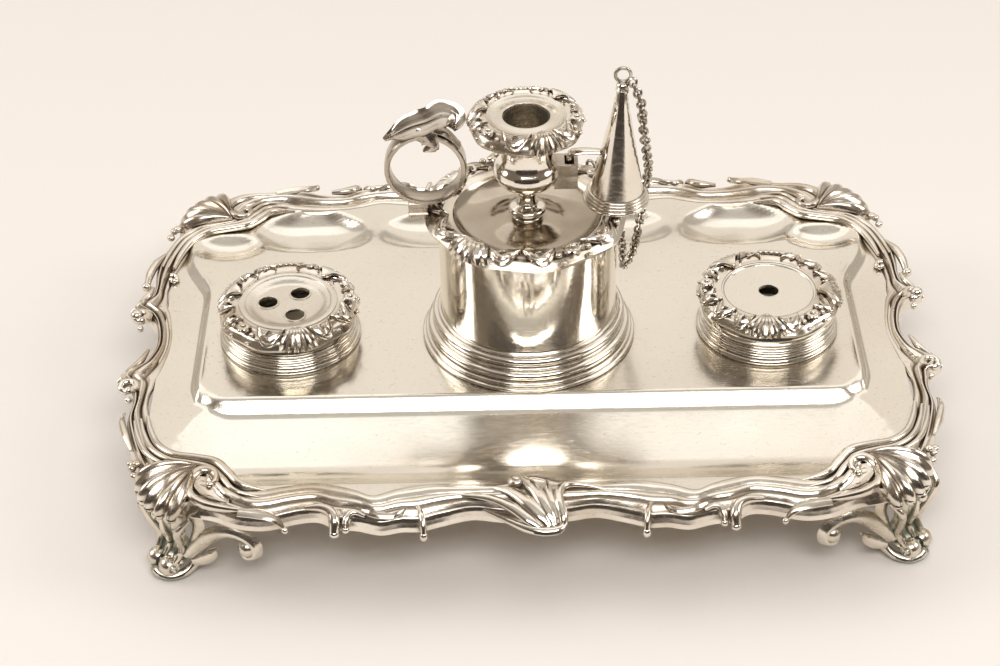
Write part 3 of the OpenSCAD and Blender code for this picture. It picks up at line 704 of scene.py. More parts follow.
def shellPart(s):
    parts = []
    x0, y0, z0 = s["root"]
    for k in range(s["lobes"]):
        f = k / (s["lobes"] - 1)
        a = math.radians(s["from"] + (s["to"] - s["from"]) * f)
        long = s["reach"][0] + (s["reach"][1] - s["reach"][0]) * f
        bend = 0.30 * (0.45 - f)
        pts = [(x0 + long * u * math.cos(a + bend * u), y0 + long * u * math.sin(a + bend * u), z0 + dz)
               for u, dz in ((0.02, 0.4), (0.3, 1.9), (0.6, 2.0), (0.82, 0.2), (0.93, -2.2), (0.94, -4.6))]
        parts.append(leaf(curve(pts, 5), [0.5, 1.3, 2.3, 2.7, 2.3, 1.1], 2.2, 0, 0, 1.8, cup=-0.5,
                          veins=1 if k % 2 else 0))
        tip = pts[-1]
        parts.append(ball((tip[0], tip[1], tip[2] + 0.4), 1.5 if k % 2 else 1.9, 0.85, 10))
        mid = a + math.radians((s["to"] - s["from"]) * 0.5 / (s["lobes"] - 1))
        if k < s["lobes"] - 1:
            thin = [(x0 + long * u * math.cos(mid), y0 + long * u * math.sin(mid), z0 + dz)
                    for u, dz in ((0.25, 0.4), (0.55, 1.0), (0.8, -0.8), (0.9, -3.6))]
            parts.append(tube(curve(thin, 4), [0.4, 0.8, 1.0, 0.5], sides=8))
    # the inner moulding that sweeps past the fan, with a thinner line outside it
    sweep = [(90, 84.4, 33.3), (98.4, 82.6, 34.8), (102.6, 77.6, 35.2), (107.4, 72, 35.6),
             (114.4, 69.6, 35.8), (122, 67.6, 35.6), (128, 62, 35.2), (131.6, 53.6, 34.8),
             (133.6, 45, 34.4)]
    for push, wide, drop in ((0.0, [0.3, 1.3, 1.7, 1.7, 1.5, 1.5, 1.4, 1.2, 0.7], 0.0),
                             (3.6, [0.2, 0.9, 1.3, 1.2, 1.0, 1.1, 1.2, 1.0, 0.5], 0.3),
                             (7.0, [0.2, 0.8, 1.1, 0.9, 0.6, 0.8, 1.1, 1.0, 0.5], 0.5)):
        way = np.array([(x + push * (0.45 + 0.2 * i / 8), y + push * (0.9 - 0.08 * i), z - drop)
                        for i, (x, y, z) in enumerate(sweep)])
        parts.append(tube(curve(way, 5), wide, sides=12))
    # scrolled hook beside the fan, with a cup inside it
    hook = [(96, 95, 33.6), (104, 94, 34.2), (111, 91.6, 34.6), (115.4, 87, 35.2), (115.4, 81, 35.9),
            (112, 76.8, 36.2), (108, 77.4, 36.0), (106.8, 80.8, 35.6), (108.4, 83.4, 35.2)]
    parts.append(tube(curve(hook, 6), [0.8, 1.4, 1.8, 1.9, 1.8, 1.7, 1.5, 1.3, 1.0], sides=12, reeds=3,
                      reedDeep=0.12))
    parts.append(ball((108.6, 83.2, 35.2), 1.5))
    parts.append(leaf(curve([(111, 79, 35.2), (110.8, 83, 34.6), (108, 87.4, 34.0), (102, 91, 33.6)], 5),
                      [1.6, 3.2, 2.6, 0.8], 0.2, 0, 0,
                      1.2, cup=1.1, veins=0))
    for at in ((136.2, 71.6, 33.4), (135.4, 74.4, 32.4), (137.2, 68.4, 32.6), (134.6, 71.0, 34.8)):
        parts.append(ball(at, 1.5, 0.9, 10))  # small cluster beside the fan
    # solid ground under the leaves
    ground = []
    for d in (33.9, 29.2):
        edge = [(x0 + r * math.cos(math.radians(a)), y0 + r * math.sin(math.radians(a)), d)
                for a, r in ((-34, 15), (-18, 18.6), (0, 19.4), (16, 19), (34, 18.6), (52, 19), (70, 17.4),
                             (92, 14.6), (112, 12.4), (132, 10), (160, 7), (200, 5), (280, 5.4))]
        ground.append(edge)
    parts.append(loft(ground))
    return join(parts)


shell = shellPart(shellSet)
for end, y in (("front", True), ("back", False)):
    for hand, x in (("left", True), ("right", False)):
        addPiece("shell_" + end + hand.title(), mirrored(shell, x, y), "castSilver", "tray_body",
                 [f"shell_{end}_{hand}"])
print("corner shells made")


# feet

footSet = {"top": (116.5, 78.5), "splay": 41.0,
           # out from the top, height, half width, depth
           "leg": [(0, 31.5, 12.5, 3.2), (5.4, 30.4, 12.6, 3.2), (9.4, 26.4, 11.4, 3.0),
                   (9.4, 21, 9.4, 2.8),
                   (7.6, 15.6, 8.2, 2.6), (7.0, 10.8, 7.0, 2.5), (8.8, 7.2, 6.6, 2.4), (12, 5.2, 5.8, 2.2)],
           "toe": (13.6, 5.4), "toeGap": 3.3, "groove": 0.24, "frontRightAway": (3.6, 1.6, 0)}


def uprightPath(origin, heading, points, steps=6):
    c, s = math.cos(math.radians(heading)), math.sin(math.radians(heading))
    return curve([(origin[0] + t * c, origin[1] + t * s, z) for t, z in points], steps), (-s, c, 0)


def footPart(s):
    keys = curve(s["leg"], 6)
    rings = []
    for i, (u, z, wide, deep) in enumerate(keys):
        a, b = keys[max(i - 1, 0)], keys[min(i + 1, len(keys) - 1)]
        du, dz = b[0] - a[0], b[1] - a[1]
        size = math.hypot(du, dz)
        nu, nz = -dz / size, du / size  # outward across the leg
        f = np.linspace(-1, 1, 25)
        swell = deep * (0.35 + s["groove"] * np.cos(4 * math.pi * f) * (1 - 0.35 * abs(f))
                        + 0.3 * (1 - f * f))
        front = [(u + nu * q, wide * w * (1 + 0.07 * math.sin(i * 1.3)), z + nz * q)
                 for w, q in zip(f, swell)]
        rear = [(u - nu * q, wide * w * 0.94, z - nz * q)
                for w, q in zip(f[::-2], 0.75 * deep * (1 - f[::-2] ** 2 * 0.7))]
        rings.append(front + rear)
    leg = [loft(rings)]
    wheelHalf = [(0.01, -2.9), (0.8, -2.8), (1.2, -2.1), (1.7, -2.6), (2.6, -2.5), (3.3, -1.6)]
    wheel = lathe(wheelHalf + [(3.6, 0)] + [(r, -z) for r, z in wheelHalf[::-1]], 28)
    for side in (-1, 1):
        leg.append(moved(wheel, (s["toe"][0], side * s["toeGap"], s["toe"][1]), (90, 0, 0)))
        leg.append(tube(curve([(9.0, side * 12.4, 29), (13.0, side * 10.6, 24.6), (11.6, side * 8.4, 18),
                               (9.6, side * 6.2, 11.4), (12.6, side * 5.0, 6.6)], 6),
                        [0.8, 1.4, 1.3, 1.2, 1.0]))
        leg.append(tube(curve([(-2.0, side * 11.6, 9.6), (1.6, side * 8.8, 7.2), (5.6, side * 7.2, 4.2),
                               (9.6, side * 6.4, 2.0), (14.0, side * 4.6, 1.5), (16.6, side * 1.8, 2.6),
                               (17.2, 0, 3.8)], 6),
                        [0.3, 1.0, 1.5, 1.7, 1.6, 1.5, 1.4], [0.4, 1.3, 1.7, 1.6, 1.4, 1.4, 1.4]))
    leg.append(tube(curve([(12.4, 0, 24.4), (12.0, 0, 19), (10.0, 0, 12), (12.6, 0, 7.6)], 6),
                    [0.6, 1.2, 1.1, 0.8]))
    leg.append(ball((13.6, 0, 26.4), 2.0))
    parts = [moved(join(leg), (*s["top"], 0), (0, 0, s["splay"]))]
    for origin, heading in (((117.4, 88.4), 168), ((127.0, 78.6), -78)):
        arch, up = uprightPath(origin, heading, [(-1, 9.6), (4, 15), (8.6, 19.2), (14, 21.4), (19.4, 20.6),
                                                 (23.4, 17.4), (23.6, 13.6), (20.8, 12.2), (19.0, 14.2)])
        parts.append(tube(arch, [3.0, 3.2, 3.0, 2.8, 2.7, 2.7, 2.5, 2.2, 1.6],
                          [2.4, 2.1, 1.9, 1.9, 2.1, 2.4, 2.6, 2.4, 1.8],
                          up, 14, 4, 0.2))
        hub, _ = uprightPath(origin, heading, [(21.0, 15.4), (21.2, 15.4)], 1)
        parts.append(ball(hub[0], 3.3, 0.95))
        for pts, wide in (([(1, 6), (5, 7.4), (8.4, 10), (10, 12.6)], [1.8, 2.2, 1.7, 0.4]), ([(15, 26.6),
                          (22, 27.4), (27.4, 26.2), (32, 26.8)], [1.2, 1.8, 1.4, 0.3]), ([(2, 16),
                          (4.5, 22), (4, 27), (8, 30)], [1.2, 2.2, 2.2, 1.0])):
            path, up2 = uprightPath(origin, heading, pts, 5)
            parts.append(leaf(path, wide, 0.7, 0, 0, 0.9, up=up2))
    return join(parts)


foot = footPart(footSet)
for end, y in (("front", True), ("back", False)):
    for hand, x in (("left", True), ("right", False)):
        # this foot stands a little further out
        away = footSet["frontRightAway"] if (end, hand) == ("front", "right") else (0, 0, 0)
        addPiece("foot_" + end + hand.title(), moved(mirrored(foot, x, y), away), "footSilver",
                 "tray_body", [f"foot_{end}_{hand}"])
print("feet made")


# turned parts

def reeded(r0, z0, steps, n=6):
    out = []  # half-round reeds down the outside: (radius, height, bead) of each
    for r, z, bead in steps:
        out += [(r - bead + bead * math.cos(a), z + bead * math.sin(a)) for a in np.linspace(-1.35, 1.35, n)]
    return [(r0, z0)] + out


def smoothProfile(points, steps=5):
    return [tuple(q) for q in curve(points, steps)]


collarSet = {"bore": 22.9, "low": 36.02, "top": 43.0,
             "reeds": [(25.6, 37.2, 1.2), (24.9, 39.4, 1.05), (24.5, 41.3, 0.9), (23.8, 42.5, 0.5)]}
collarOut = reeded(collarSet["bore"], collarSet["low"],
                   collarSet["reeds"]) + [(collarSet["bore"], collarSet["top"])]
for hand, x in (("left", -wellX), ("right", wellX)):
    addPiece("collar" + hand.title(), moved(lathe(collarOut, 128), (x, 0, 0)), "polished", "tray_body",
             ["collar_" + hand])

coverSkirts = {
    "left": [(21.9, 38.0), (22.5, 38.0), (22.5, 43.4), (23.6, 43.6), (24.1, 44.4), (23.6, 45.3),
             (24.0, 45.9), (23.6, 46.4), (21.9, 46.4)],
    "right": [(21.9, 38.0), (22.5, 38.0), (22.5, 43.3), (23.9, 43.5), (24.6, 44.3), (24.7, 45.6),
              (24.3, 47.0), (23.4, 48.2), (23.0, 49.0), (21.9, 49.0)]}
for hand, x in (("left", -wellX), ("right", wellX)):
    addPiece("coverSkirt" + hand.title(), moved(lathe(coverSkirts[hand], 128), (x, 0, 0)), "polished",
             "cover_" + hand,
             ["cover_skirt_" + hand])


def piercedDisc(radius, holes, zTop, thick, fine=1.1, dish=None):
    # a round plate with true round holes; a hole is (x, y, r)
    steps = np.arange(-radius - fine, radius + fine * 1.5, fine)
    gridX, gridY = np.meshgrid(steps, steps, indexing="ij")
    inside = np.hypot(gridX, gridY) <= radius
    for hx, hy, hr in holes:
        inside &= np.hypot(gridX - hx, gridY - hy) >= hr
    circles = [(hx, hy, hr, 0, hr + 2 * fine) for hx, hy, hr in holes]
    circles.append((0, 0, radius, radius - 2 * fine, 2 * radius))
    return gridSheet(gridX, gridY, inside, circles, lambda x, y: zTop + (dish(x, y) if dish else 0 * x),
                     thick)


quill = {"ring": 7.4, "r": 3.4, "angles": (172, 58, -68)}
quillHoles = [(quill["ring"] * math.cos(math.radians(a)), quill["ring"] * math.sin(math.radians(a)),
               quill["r"])
              for a in quill["angles"]]
lipLeft = lathe([(15.2, 49.6), (15.2, 50.7), (15.7, 51.1), (16.4, 51.2), (17.1, 51.2), (17.7, 50.9),
                 (17.7, 49.8)], 128)
holeLips = [ring(r + 0.3, 49.35, 0.36, 48, 8, (x, y)) for x, y, r in quillHoles]


def dishDrop(x, y):
    return -1.4 * (1 - smoothStep(np.hypot(x, y), 11.6, 15.0))


addPiece("coverDishLeft", moved(join([piercedDisc(15.4, quillHoles, 50.7, 0.9, 0.8, dishDrop), lipLeft]
                                     + holeLips), (-wellX, 0, 0)),
         "dullPlate", "cover_left", ["cover_dish_left"])
dip = (0, 0, 3.6)
lipRight = lathe([(15.9, 50.5), (15.9, 51.1), (16.3, 51.5), (16.8, 51.6), (16.8, 50.2)], 128)
addPiece("coverPlateRight", moved(join([piercedDisc(15.9, [dip], 51.1, 0.9, 1.0), lipRight,
                                        ring(3.75, 51.0, 0.25, 48, 8)]),
                                  (wellX, 0, 0)), "trayPlate", "cover_right", ["cover_plate_right"])


# cast rims: a sloping reeded ring with shells, flowers and leaves set round it

def rimPoint(s, angle, f, lift=0.0):
    r = s["inner"] + (s["outer"] - s["inner"]) * f
    z = np.interp(f, [q[0] for q in s["slope"]], [q[1] for q in s["slope"]]) + lift
    a = math.radians(angle)
    return (r * math.cos(a), r * math.sin(a), z)


def alongRim(s, a0, a1, f0, f1, wide, lift=0.5, bow=0.0, crown=0.7, n=14, veins=1):
    path = [rimPoint(s, a0 + (a1 - a0) * u, f0 + (f1 - f0) * u + bow * math.sin(math.pi * u), lift)
            for u in np.linspace(0, 1, n)]
    return leaf(np.array(path), wide, crown, 0, 0, 0.9, across=7, veins=veins)


def rimShell(s, angle, spread, blades=7):
    parts = []
    k = s["scale"]
    for i in range(blades):
        f = i / (blades - 1) * 2 - 1
        end = angle + spread * f
        start = angle + spread * 0.18 * f
        top = 1.12 - 0.16 * f * f
        path = curve([rimPoint(s, start, 0.12, 0.9 * k), rimPoint(s, (start + end) / 2, top * 0.5, 1.7 * k),
                      rimPoint(s, end, top * 0.86, 1.1 * k), rimPoint(s, end + 2 * f, top, -0.5 * k)], 4)
        parts.append(leaf(path, [0.35 * k, 0.8 * k, 1.25 * k, 0.7 * k], 0.8 * k, 0, 0, 0.8 * k, across=5))
    parts.append(ball(rimPoint(s, angle, 0.1, 1.0 * k), 0.9 * k, 0.9, 8))
    return parts


def rimFlower(s, angle, petals=5):
    parts, k = [], s["scale"]
    centre = Vector(rimPoint(s, angle, 0.62, 1.5 * k))
    for i in range(petals):
        a = tau * i / petals + math.radians(angle)
        way = Vector((math.cos(a), math.sin(a), -0.25))
        path = curve([centre + way * 0.5 * k, centre + way * 1.5 * k + Vector((0, 0, 0.5 * k)),
                      centre + way * 2.7 * k], 4)
        parts.append(leaf(np.array(path), [0.5 * k, 1.25 * k, 0.5 * k], 0.6 * k, 0, 0, 0.7 * k,
                          cup=0.25 * k, across=5))
    parts.append(ball(centre + Vector((0, 0, 0.6 * k)), 0.95 * k, 0.9, 10))
    for side in (-1, 1):
        parts.append(ball(rimPoint(s, angle + side * s["flowerGap"], 0.72, 0.9 * k), 0.95 * k, 0.9, 8))
        parts.append(ball(rimPoint(s, angle + side * s["flowerGap"] * 0.8, 0.98, 0.4 * k), 0.8 * k, 0.9, 8))
    return parts


def rimScrolls(s, a0, a1):
    k = s["scale"]
    mid = (a0 + a1) / 2
    span = a1 - a0
    return [alongRim(s, a0 + span * 0.04, mid + span * 0.24, 0.25, 0.8,
                     [0.3 * k, 1.2 * k, 1.3 * k, 0.4 * k], 0.6 * k, 0.15, 0.9 * k),
            alongRim(s, a1 - span * 0.04, mid - span * 0.22, 0.2, 0.86,
                     [0.3 * k, 1.1 * k, 1.2 * k, 0.4 * k], 0.5 * k, 0.1, 0.9 * k),
            alongRim(s, a0 + span * 0.16, a1 - span * 0.1, 0.55, 0.5, [0.3 * k, 0.8 * k, 0.9 * k, 0.3 * k],
                     0.8 * k, 0.42, 0.7 * k),
            tube([rimPoint(s, a0 + span * (0.5 + 0.10 * math.cos(q)), 0.55 + 0.2 * math.sin(q), 0.9 * k)
                  for q in np.linspace(0.6, 5.4, 14)], [0.35 * k, 0.55 * k, 0.5 * k, 0.35 * k], sides=8)]


def rimBeads(s, angle, count=5, step=5.0):
    return [ball(rimPoint(s, angle + (i - (count - 1) / 2) * step, 0.7, 0.7 * s["scale"]),
                 1.0 * s["scale"], 0.9, 8)
            for i in range(count)]


def rimPart(s):
    k = s["scale"]
    top = [rimPoint(s, 0, f, 0)[::2] for f in np.linspace(0, 1, 15)]
    top = [(r, z + 0.28 * k * math.cos(f * tau * 2.5)) for (r, z), f in zip(top, np.linspace(0, 1, 15))]
    under = [(r - 0.4, z - s["thick"]) for r, z in top[::-3]]
    base = lathe(top + under, 144, lambda a,
                 p: p * (1 + 0.02 * np.clip((p[:, :1] - s["inner"]) / (s["outer"] - s["inner"]), 0, 1)
                                                     * math.sin(a * s["waves"]) * (1, 0)))
    parts = [base]
    marks = sorted(s["plan"])
    for angle, kind in marks:
        if kind == "shell":
            parts += rimShell(s, angle, s["shellSpread"])
        elif kind == "flower":
            parts += rimFlower(s, angle)
        elif kind == "beads":
            parts += rimBeads(s, angle)
    for i, (angle, kind) in enumerate(marks):
        nextAngle, nextKind = marks[(i + 1) % len(marks)]
        nextAngle += 360 if nextAngle <= angle else 0
        margin = {"shell": s["shellSpread"] * 0.8, "flower": s["flowerGap"] * 0.9, "beads": 10}
        a, b = angle + margin[kind], nextAngle - margin[nextKind]
        count = max(1, round((b - a) / s["scrollSpan"]))
        for j in range(count):
            parts += rimScrolls(s, a + (b - a) * j / count, a + (b - a) * (j + 1) / count)
    return join(parts)


rims = {
    "coverRimLeft": dict(inner=17.6, outer=25.4, slope=[(0, 50.4), (0.25, 51.3), (0.6, 50.6), (0.85, 49.0),
                                                        (1, 47.4)],
                         thick=1.2, scale=1.0, waves=9, shellSpread=13, flowerGap=11, scrollSpan=25,
                         plan=[(-78, "shell"), (-131, "flower"), (165, "shell"), (0, "flower"),
                               (95, "beads"), (48, "shell")]),
    "coverRimRight": dict(inner=16.9, outer=25.5, slope=[(0, 51.5), (0.2, 52.3), (0.6, 51.8), (0.85, 50.8),
                                                         (1, 49.6)],
                          thick=1.2, scale=1.0, waves=9, shellSpread=14, flowerGap=11, scrollSpan=25,
                          plan=[(-98, "shell"), (-52, "flower"), (-8, "shell"), (172, "flower"),
                                (82, "beads"), (130, "shell")]),
    "lidRim": dict(inner=26.2, outer=35.4, slope=[(0, 87.0), (0.2, 88.4), (0.55, 89.0), (0.8, 88.5),
                                                  (1, 87.3)],
                   thick=1.3, scale=1.35, waves=8, shellSpread=11, flowerGap=10, scrollSpan=27,
                   plan=[(-62, "flower"), (-128, "shell"), (150, "shell"), (108, "flower"), (20, "shell"),
                         (-10, "beads")]),
    "nozzleRim": dict(inner=13.6, outer=19.9, slope=[(0, 126.5), (0.25, 127.3), (0.6, 126.4), (0.85, 124.8),
                                                     (1, 123.4)],
                      thick=1.2, scale=0.95, waves=7, shellSpread=16, flowerGap=14, scrollSpan=29,
                      plan=[(-70, "shell"), (-12, "flower"), (-138, "flower"), (165, "shell"),
                            (95, "beads"), (45, "shell")])}
rimClear = 124.1  # height that the nozzle's border keeps above the snuffer's hook
for name, body, node, x in (("coverRimLeft", "cover_left", "cover_rim_left", -wellX),
                            ("coverRimRight", "cover_right", "cover_rim_right", wellX),
                            ("lidRim", "lid", "lid_border", 0),
                            ("nozzleRim", "nozzle", "nozzle_border", 0)):
    points, faces = moved(rimPart(rims[name]), (x, 0, 0))
    if name == "nozzleRim":  # its underside is kept up where the snuffer's hook slides
        high = (points[:, 0] > 12.5) & (np.abs(points[:, 1]) < 5) & (points[:, 2] < rimClear)
        points[high, 2] = rimClear + 0.12 * (points[high, 2] - rimClear)
    addPiece(name, (points, faces), "castSilver", body, [node])
print("cast rims made")


# wafer box, lid and taperstick

boxSet = {"r": 31.4, "wall": 0.8, "foot": 36.0, "top": 85.7}


def boxWall(s):
    def seam(a, p):  # the soldered seam down the front, and the faint unevenness of hand work
        d = (a - 1.5 * math.pi + 0.02) / 0.012
        dent = 0.10 * math.exp(-d * d) - 0.035 * math.sin(3 * a + 0.6) - 0.02 * math.sin(7 * a)
        return np.column_stack([p[:, 0] - dent, p[:, 1]])
    r, inner = s["r"], s["r"] - s["wall"]
    z = np.linspace(s["foot"] + 0.05, s["top"], 14)
    return lathe([(r, q) for q in z] + [(r - 0.1, s["top"] + 0.1), (inner, s["top"])]
                 + [(inner, s["foot"] + 0.8)], 256, seam)


addPiece("boxWall", boxWall(boxSet), "polished", "tray_body", ["box_wall"])
flangeR = boxSet["r"] - boxSet["wall"] - 0.3
panTop = smoothProfile([(26.3, 87.2), (25.2, 85.9), (22.6, 84.2), (19.5, 83.2), (16.6, 82.9), (13.8, 83.3),
                        (11, 84.3), (8, 85.4), (5, 86.1)], 5)
stemOut = smoothProfile([(5.6, 85.6), (5.3, 86.6), (4.0, 87.2), (4.6, 87.6), (6.2, 88.2), (6.7, 89.1),
                         (6.0, 90.1), (4.0, 90.9), (3.4, 91.6), (3.1, 93.4), (3.3, 95.6), (4.4, 97.4),
                         (4.9, 98.0)], 4)
vaseOut = smoothProfile([(4.6, 98.0), (7.4, 99.0), (10.2, 101.2), (11.5, 103.8), (11.5, 105.4),
                         (11.1, 107.0), (9.9, 108.8), (9.35, 111), (9.3, 115), (9.8, 117.4),
                         (9.9, 118.3)], 4)
nozzleTop = smoothProfile([(8.05, 125.9), (8.3, 126.5), (9.2, 126.45), (10.6, 126.1), (12, 126.1),
                           (13.0, 126.6), (13.7, 126.9)], 4)
turned = {  # outline (radius, height), steps round, finish, body, node
    "boxMoulding": (reeded(31.45, 36.02, [(38.3, 36.9, 0.7), (37.3, 38.7, 0.8), (36.4, 41.1, 1.5),
                                          (34.6, 43.5, 0.6), (34.6, 45.8, 1.6),
                                          (32.6, 48.0, 0.6)], 8) + [(31.45, 48.6)],
                    192, "polished", "tray_body", "box_moulding"),
    "boxFloor": ([(0.01, 36.05), (30.5, 36.05), (30.5, 36.8), (29, 37.0), (0.01, 36.9)], 96, "dullPlate",
                 "tray_body", "box_floor"),
    "lidPan": (panTop + [(r, z - 0.8) for r, z in panTop[::-1]], 160, "panSilver", "lid", "lid_pan"),
    "lidFlange": ([(flangeR, 78), (flangeR, 86), (flangeR - 0.8, 86), (flangeR - 0.8, 78.2),
                   (flangeR - 0.4, 77.9)],
                  128, "polished", "lid", "lid_flange"),
    "stem": ([(0.01, 85.6)] + stemOut + [(0.01, 98.0)], 96, "polished", "lid", "stem"),
    "candleSocket": ([(0.01, 98.0)] + vaseOut + [(9.0, 118.4), (8.75, 117.8), (8.75, 101.2), (0.01, 101.0)],
                     128, "polished", "lid", "candle_socket"),
    "nozzleTube": ([(8.0, 105.1), (8.4, 105.1), (8.4, 119.6), (9.2, 121.6), (10.8, 123.4), (13.0, 124.8),
                    (13.2, 125.3), (8.0, 125.6)], 96, "dullPlate", "nozzle", "nozzle_tube"),
    "nozzlePan": (nozzleTop + [(13.7, 125.5), (8.05, 125.4)], 128, "dullPlate", "nozzle", "nozzle_pan")}
for name, (outline, steps, metal, body, node) in turned.items():
    addPiece(name, lathe(outline, steps), metal, body, [node])

sleeveSet = {"outer": (9.6, 17.4, -3.9, 3.9), "inner": (13.0, 16.3, -2.9, 2.9), "low": 99.0, "high": 108.4,
             "seam": (103.6, 104.0)}


def sleevePart(s):
    outer, inner, low, high = s["outer"], s["inner"], s["low"], s["high"]
    rings = []
    for (x0, x1, y0, y1), z, grow in ((outer, low, 0.25), *((outer, z, 0) for z in s["seam"]),
                                      (outer, high, 0.25), (inner, high, 0), (inner, low, 0)):
        rings.append([(x0 - grow, y0 - grow, z), (x1 + grow, y0 - grow, z), (x1 + grow, y1 + grow, z),
                      (x0 - grow, y1 + grow, z)])
    points, faces = loft(rings, caps=False)
    last = 4 * (len(rings) - 1)
    return points, faces + [(last + j, last + (j + 1) % 4, (j + 1) % 4, j) for j in range(4)]


addPiece("hookSleeve", sleevePart(sleeveSet), "wornSilver", "lid", ["hook_sleeve"], crease=30)
print("box, lid and taperstick made")


# finger ring with its thumb leaf

ringSet = {"x": -35.0, "z": 107.0, "outer": 14.25, "wall": 1.9, "wide": 7.0}


def fingerRing(s):
    r, h = s["outer"], s["wide"] / 2
    inside = r - s["wall"]
    half = [(inside, -h + 0.5), (inside + 0.4, -h), (r - 0.5, -h), (r - 0.1, -h + 0.5), (r - 0.1, -h * 0.4)]
    profile = half + [(r, 0)] + [(q, -z) for q, z in half[::-1]] + [(inside - 0.15, 0)]
    return moved(lathe(profile, 144), (s["x"], 0, s["z"]), (90, 0, 0))


addPiece("fingerRing", fingerRing(ringSet), "wornSilver", "lid", ["finger_ring"])
lug = loft([[(-41.4 - g, -3.4 - g, z), (-34.6 + g, -3.4 - g, z), (-34.6 + g, 3.4 + g, z),
             (-41.4 - g, 3.4 + g, z)]
            for g, z in ((-0.4, 86.9), (0, 87.4), (0.1, 89.2), (-0.3, 89.6), (-0.3, 91.4), (0.1, 91.8),
                         (0, 93.2), (-0.6, 94.0))])
addPiece("ringLug", lug, "wornSilver", "lid", ["ring_lug"], crease=30)


def thumbLeaf(s):
    x, z = s["x"], s["z"] + s["outer"]
    spine = curve([(x - 13.6, -1.0, z - 3.0), (x - 9.6, -0.8, z - 1.0), (x - 5, -0.4, z + 1.2),
                   (x + 0.6, 0, z + 3.0), (x + 5, 0.6, z + 5.0), (x + 8.4, 0.6, z + 5.2),
                   (x + 10.2, 0.4, z + 3.0), (x + 9.4, 0, z + 0.8)], 6)
    blade = leaf(spine, [0.3, 3.2, 5.6, 5.4, 6.0, 5.8, 4.4, 2.0], 0.5, 5, 0.12, 0.9, cup=1.3,
                 up=(0, -0.42, 0.9), across=15, veins=4)
    hang = leaf(curve([(x - 3, -2.6, z + 0.6), (x + 1.4, -3.2, z - 1.4), (x + 2.2, -3.6, z - 4.2),
                       (x - 0.4, -4.0, z - 5.8)], 6),
                [2.4, 3.6, 3.0, 0.5], 0.7, 3, 0.2, 0.8, across=9, up=(0, -1, 0.25), veins=3)
    arm = leaf(curve([(x - 4, 0, z + 0.3), (x + 3, 0, z + 0.8), (x + 8, 0, z - 1.2),
                      (x + 12.0, 0, z - 6.0)], 6),
               [1.6, 3.0, 3.2, 2.4], 0.8, 0, 0, 1.0, across=7)
    rib = tube(curve([(x - 12, -1.0, z - 1.9), (x - 5, -0.6, z + 1.7), (x + 1, -0.2, z + 3.5),
                      (x + 6.4, 0.5, z + 5.8)], 6),
               [0.3, 0.5, 0.5, 0.3], sides=8)
    return join([blade, hang, arm, rib])


addPiece("thumbLeaf", thumbLeaf(ringSet), "wornSilver", "lid", ["thumb_leaf"])
print("finger ring made")


# snuffer

snuffSet = {"at": (31.0, 0, 91.4), "lean": 2.0}


def leaning(part):
    return moved(part, snuffSet["at"], (0, snuffSet["lean"], 0))


coneOut = [(8.6, 4.7), (9.35, 4.7), (9.2, 5.4), (7.5, 14), (5.2, 26), (2.9, 38), (1.95, 43.3), (1.7, 43.7),
           (0.01, 43.7), (0.01, 41.5), (1.2, 40), (5.0, 22)]
addPiece("snufferCone", leaning(lathe(coneOut, 128)), "polished", "snuffer", ["snuffer_cone"])
footReeds = reeded(8.6, 0.0, [(11.6, 0.9, 0.85), (11.1, 2.3, 0.65), (10.7, 3.4, 0.5), (10.2, 4.3, 0.5)], 7)
footReeds.append((8.6, 4.65))
addPiece("snufferFoot", leaning(lathe(footReeds, 128)), "polished", "snuffer", ["snuffer_foot"])
hook = tube(curve([(25.2, 0, 111.4), (22, 0, 111.7), (18, 0, 111.7), (15.4, 0, 111.2), (14.7, 0, 109.6),
                   (14.65, 0, 105), (14.6, 0, 100.8)], 6), [1.7, 1.9, 2.1, 2.1, 2.1, 2.1, 1.8],
            [0.8, 0.85, 0.9, 1.0, 1.0, 1.0, 0.8], (0.25, 0, 1), 12)
addPiece("snufferHook", hook, "polished", "snuffer", ["snuffer_hook"])
finial = lathe([(0.01, 43.7), (2.0, 43.7), (2.45, 44.1), (2.3, 44.7), (1.6, 45.1), (1.9, 45.6), (2.2, 46.2),
                (2.0, 46.9), (1.2, 47.6), (0.01, 47.8)], 48)
addPiece("snufferFinial", leaning(finial), "polished", "snuffer", ["snuffer_finial"])
loopRing = moved(ring(2.6, 0, 0.62, 56, 12), (0, 0, 50.3), (90, 0, 0))
addPiece("snufferLoop", leaning(loopRing), "chainSilver", "snuffer", ["snuffer_loop"])
print("snuffer made")


# chain: round links from the snuffer's loop down beside the box and up to its eye on the lid

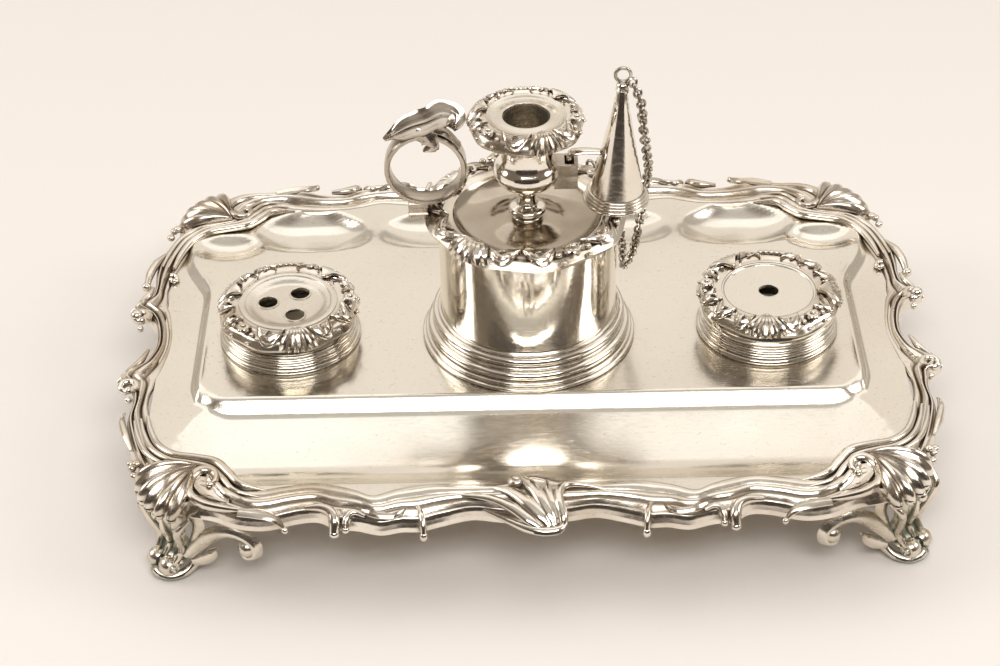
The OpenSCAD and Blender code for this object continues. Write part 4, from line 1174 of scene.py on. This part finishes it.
chainSet = {"links": 65, "link": 1.45, "wire": 0.5,
            "route": [(36, -0.7, 139), (38.8, -1.8, 132), (39.8, -2, 122), (41.2, -0.6, 112),
                      (42.4, 3.4, 102), (42, 8, 94), (41.4, 8.6, 88), (40.4, 8.4, 80), (39.2, 8.2, 71),
                      (37.4, 8.8, 62), (35.2, 10.6, 56.2), (34.6, 14.6, 54.8), (34.8, 19.8, 57.6),
                      (33.8, 24.8, 65), (31.6, 28.2, 75), (29.4, 29.4, 84), (27.4, 28.6, 88.8),
                      (25.6, 26.8, 90)]}


def chainPart(s):
    path = curve(s["route"], 8)
    step = np.linalg.norm(np.diff(path, axis=0), axis=1)
    run = np.concatenate([[0], np.cumsum(step)])
    link = ring(s["link"], 0, s["wire"], 20, 8)
    parts = []
    for i, d in enumerate(np.linspace(0, run[-1], s["links"])):
        at, after, before = (np.array([np.interp(q, run, path[:, c]) for c in range(3)])
                             for q in (d, min(d + 1, run[-1]), max(d - 1, 0)))
        # each link a quarter turn from the last, none quite true
        roll = math.radians(45 + 90 * (i % 2) + 8 * math.sin(i * 2.3))
        turn = Vector(after - before).to_track_quat("Z", "Y").to_matrix() @ Matrix.Rotation(roll, 3, "Z")
        turn = turn @ Matrix.Rotation(math.radians(90), 3, "X")
        parts.append((link[0] @ np.array(turn).T + at, link[1]))
    return join(parts)


chain = addPiece("chainLinks", chainPart(chainSet), "chainSilver", None, ["chain"])
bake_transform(chain)
eyeSet = {"at": (23.3, 24.5, 90.2), "r": 1.9, "wire": 0.55, "turn": (0, 90, 46), "seat": (23.3, 24.5, 88.6)}
eye = join([moved(ring(eyeSet["r"], 0, eyeSet["wire"], 40, 10), eyeSet["at"], eyeSet["turn"]),
            ball(eyeSet["seat"], 1.5, 0.9)])
addPiece("chainEye", eye, "chainSilver", "lid", ["chain_eye"])
print("chain made")


# glass liners

# foot, side, seat on the platform, neck, lip and inside
linerOut = [(0.01, 16.0), (18.4, 16.0), (19.2, 16.6), (19.4, 17.6), (19.4, 36.3), (21.6, 36.4),
            (21.6, 37.5), (19.4, 37.7), (19.3, 42.6), (18.6, 43.1), (17.4, 42.6), (17.2, 20.5),
            (16.2, 18.8), (0.01, 18.5)]
glass = lathe(linerOut, 96)
for hand, x in (("left", -wellX), ("right", wellX)):
    addPiece("liner" + hand.title(), moved(glass, (x, 0, 0)), "oldGlass", "liner_" + hand,
             ["liner_" + hand])
print("glass liners made")


print("pieces made:", len(made))
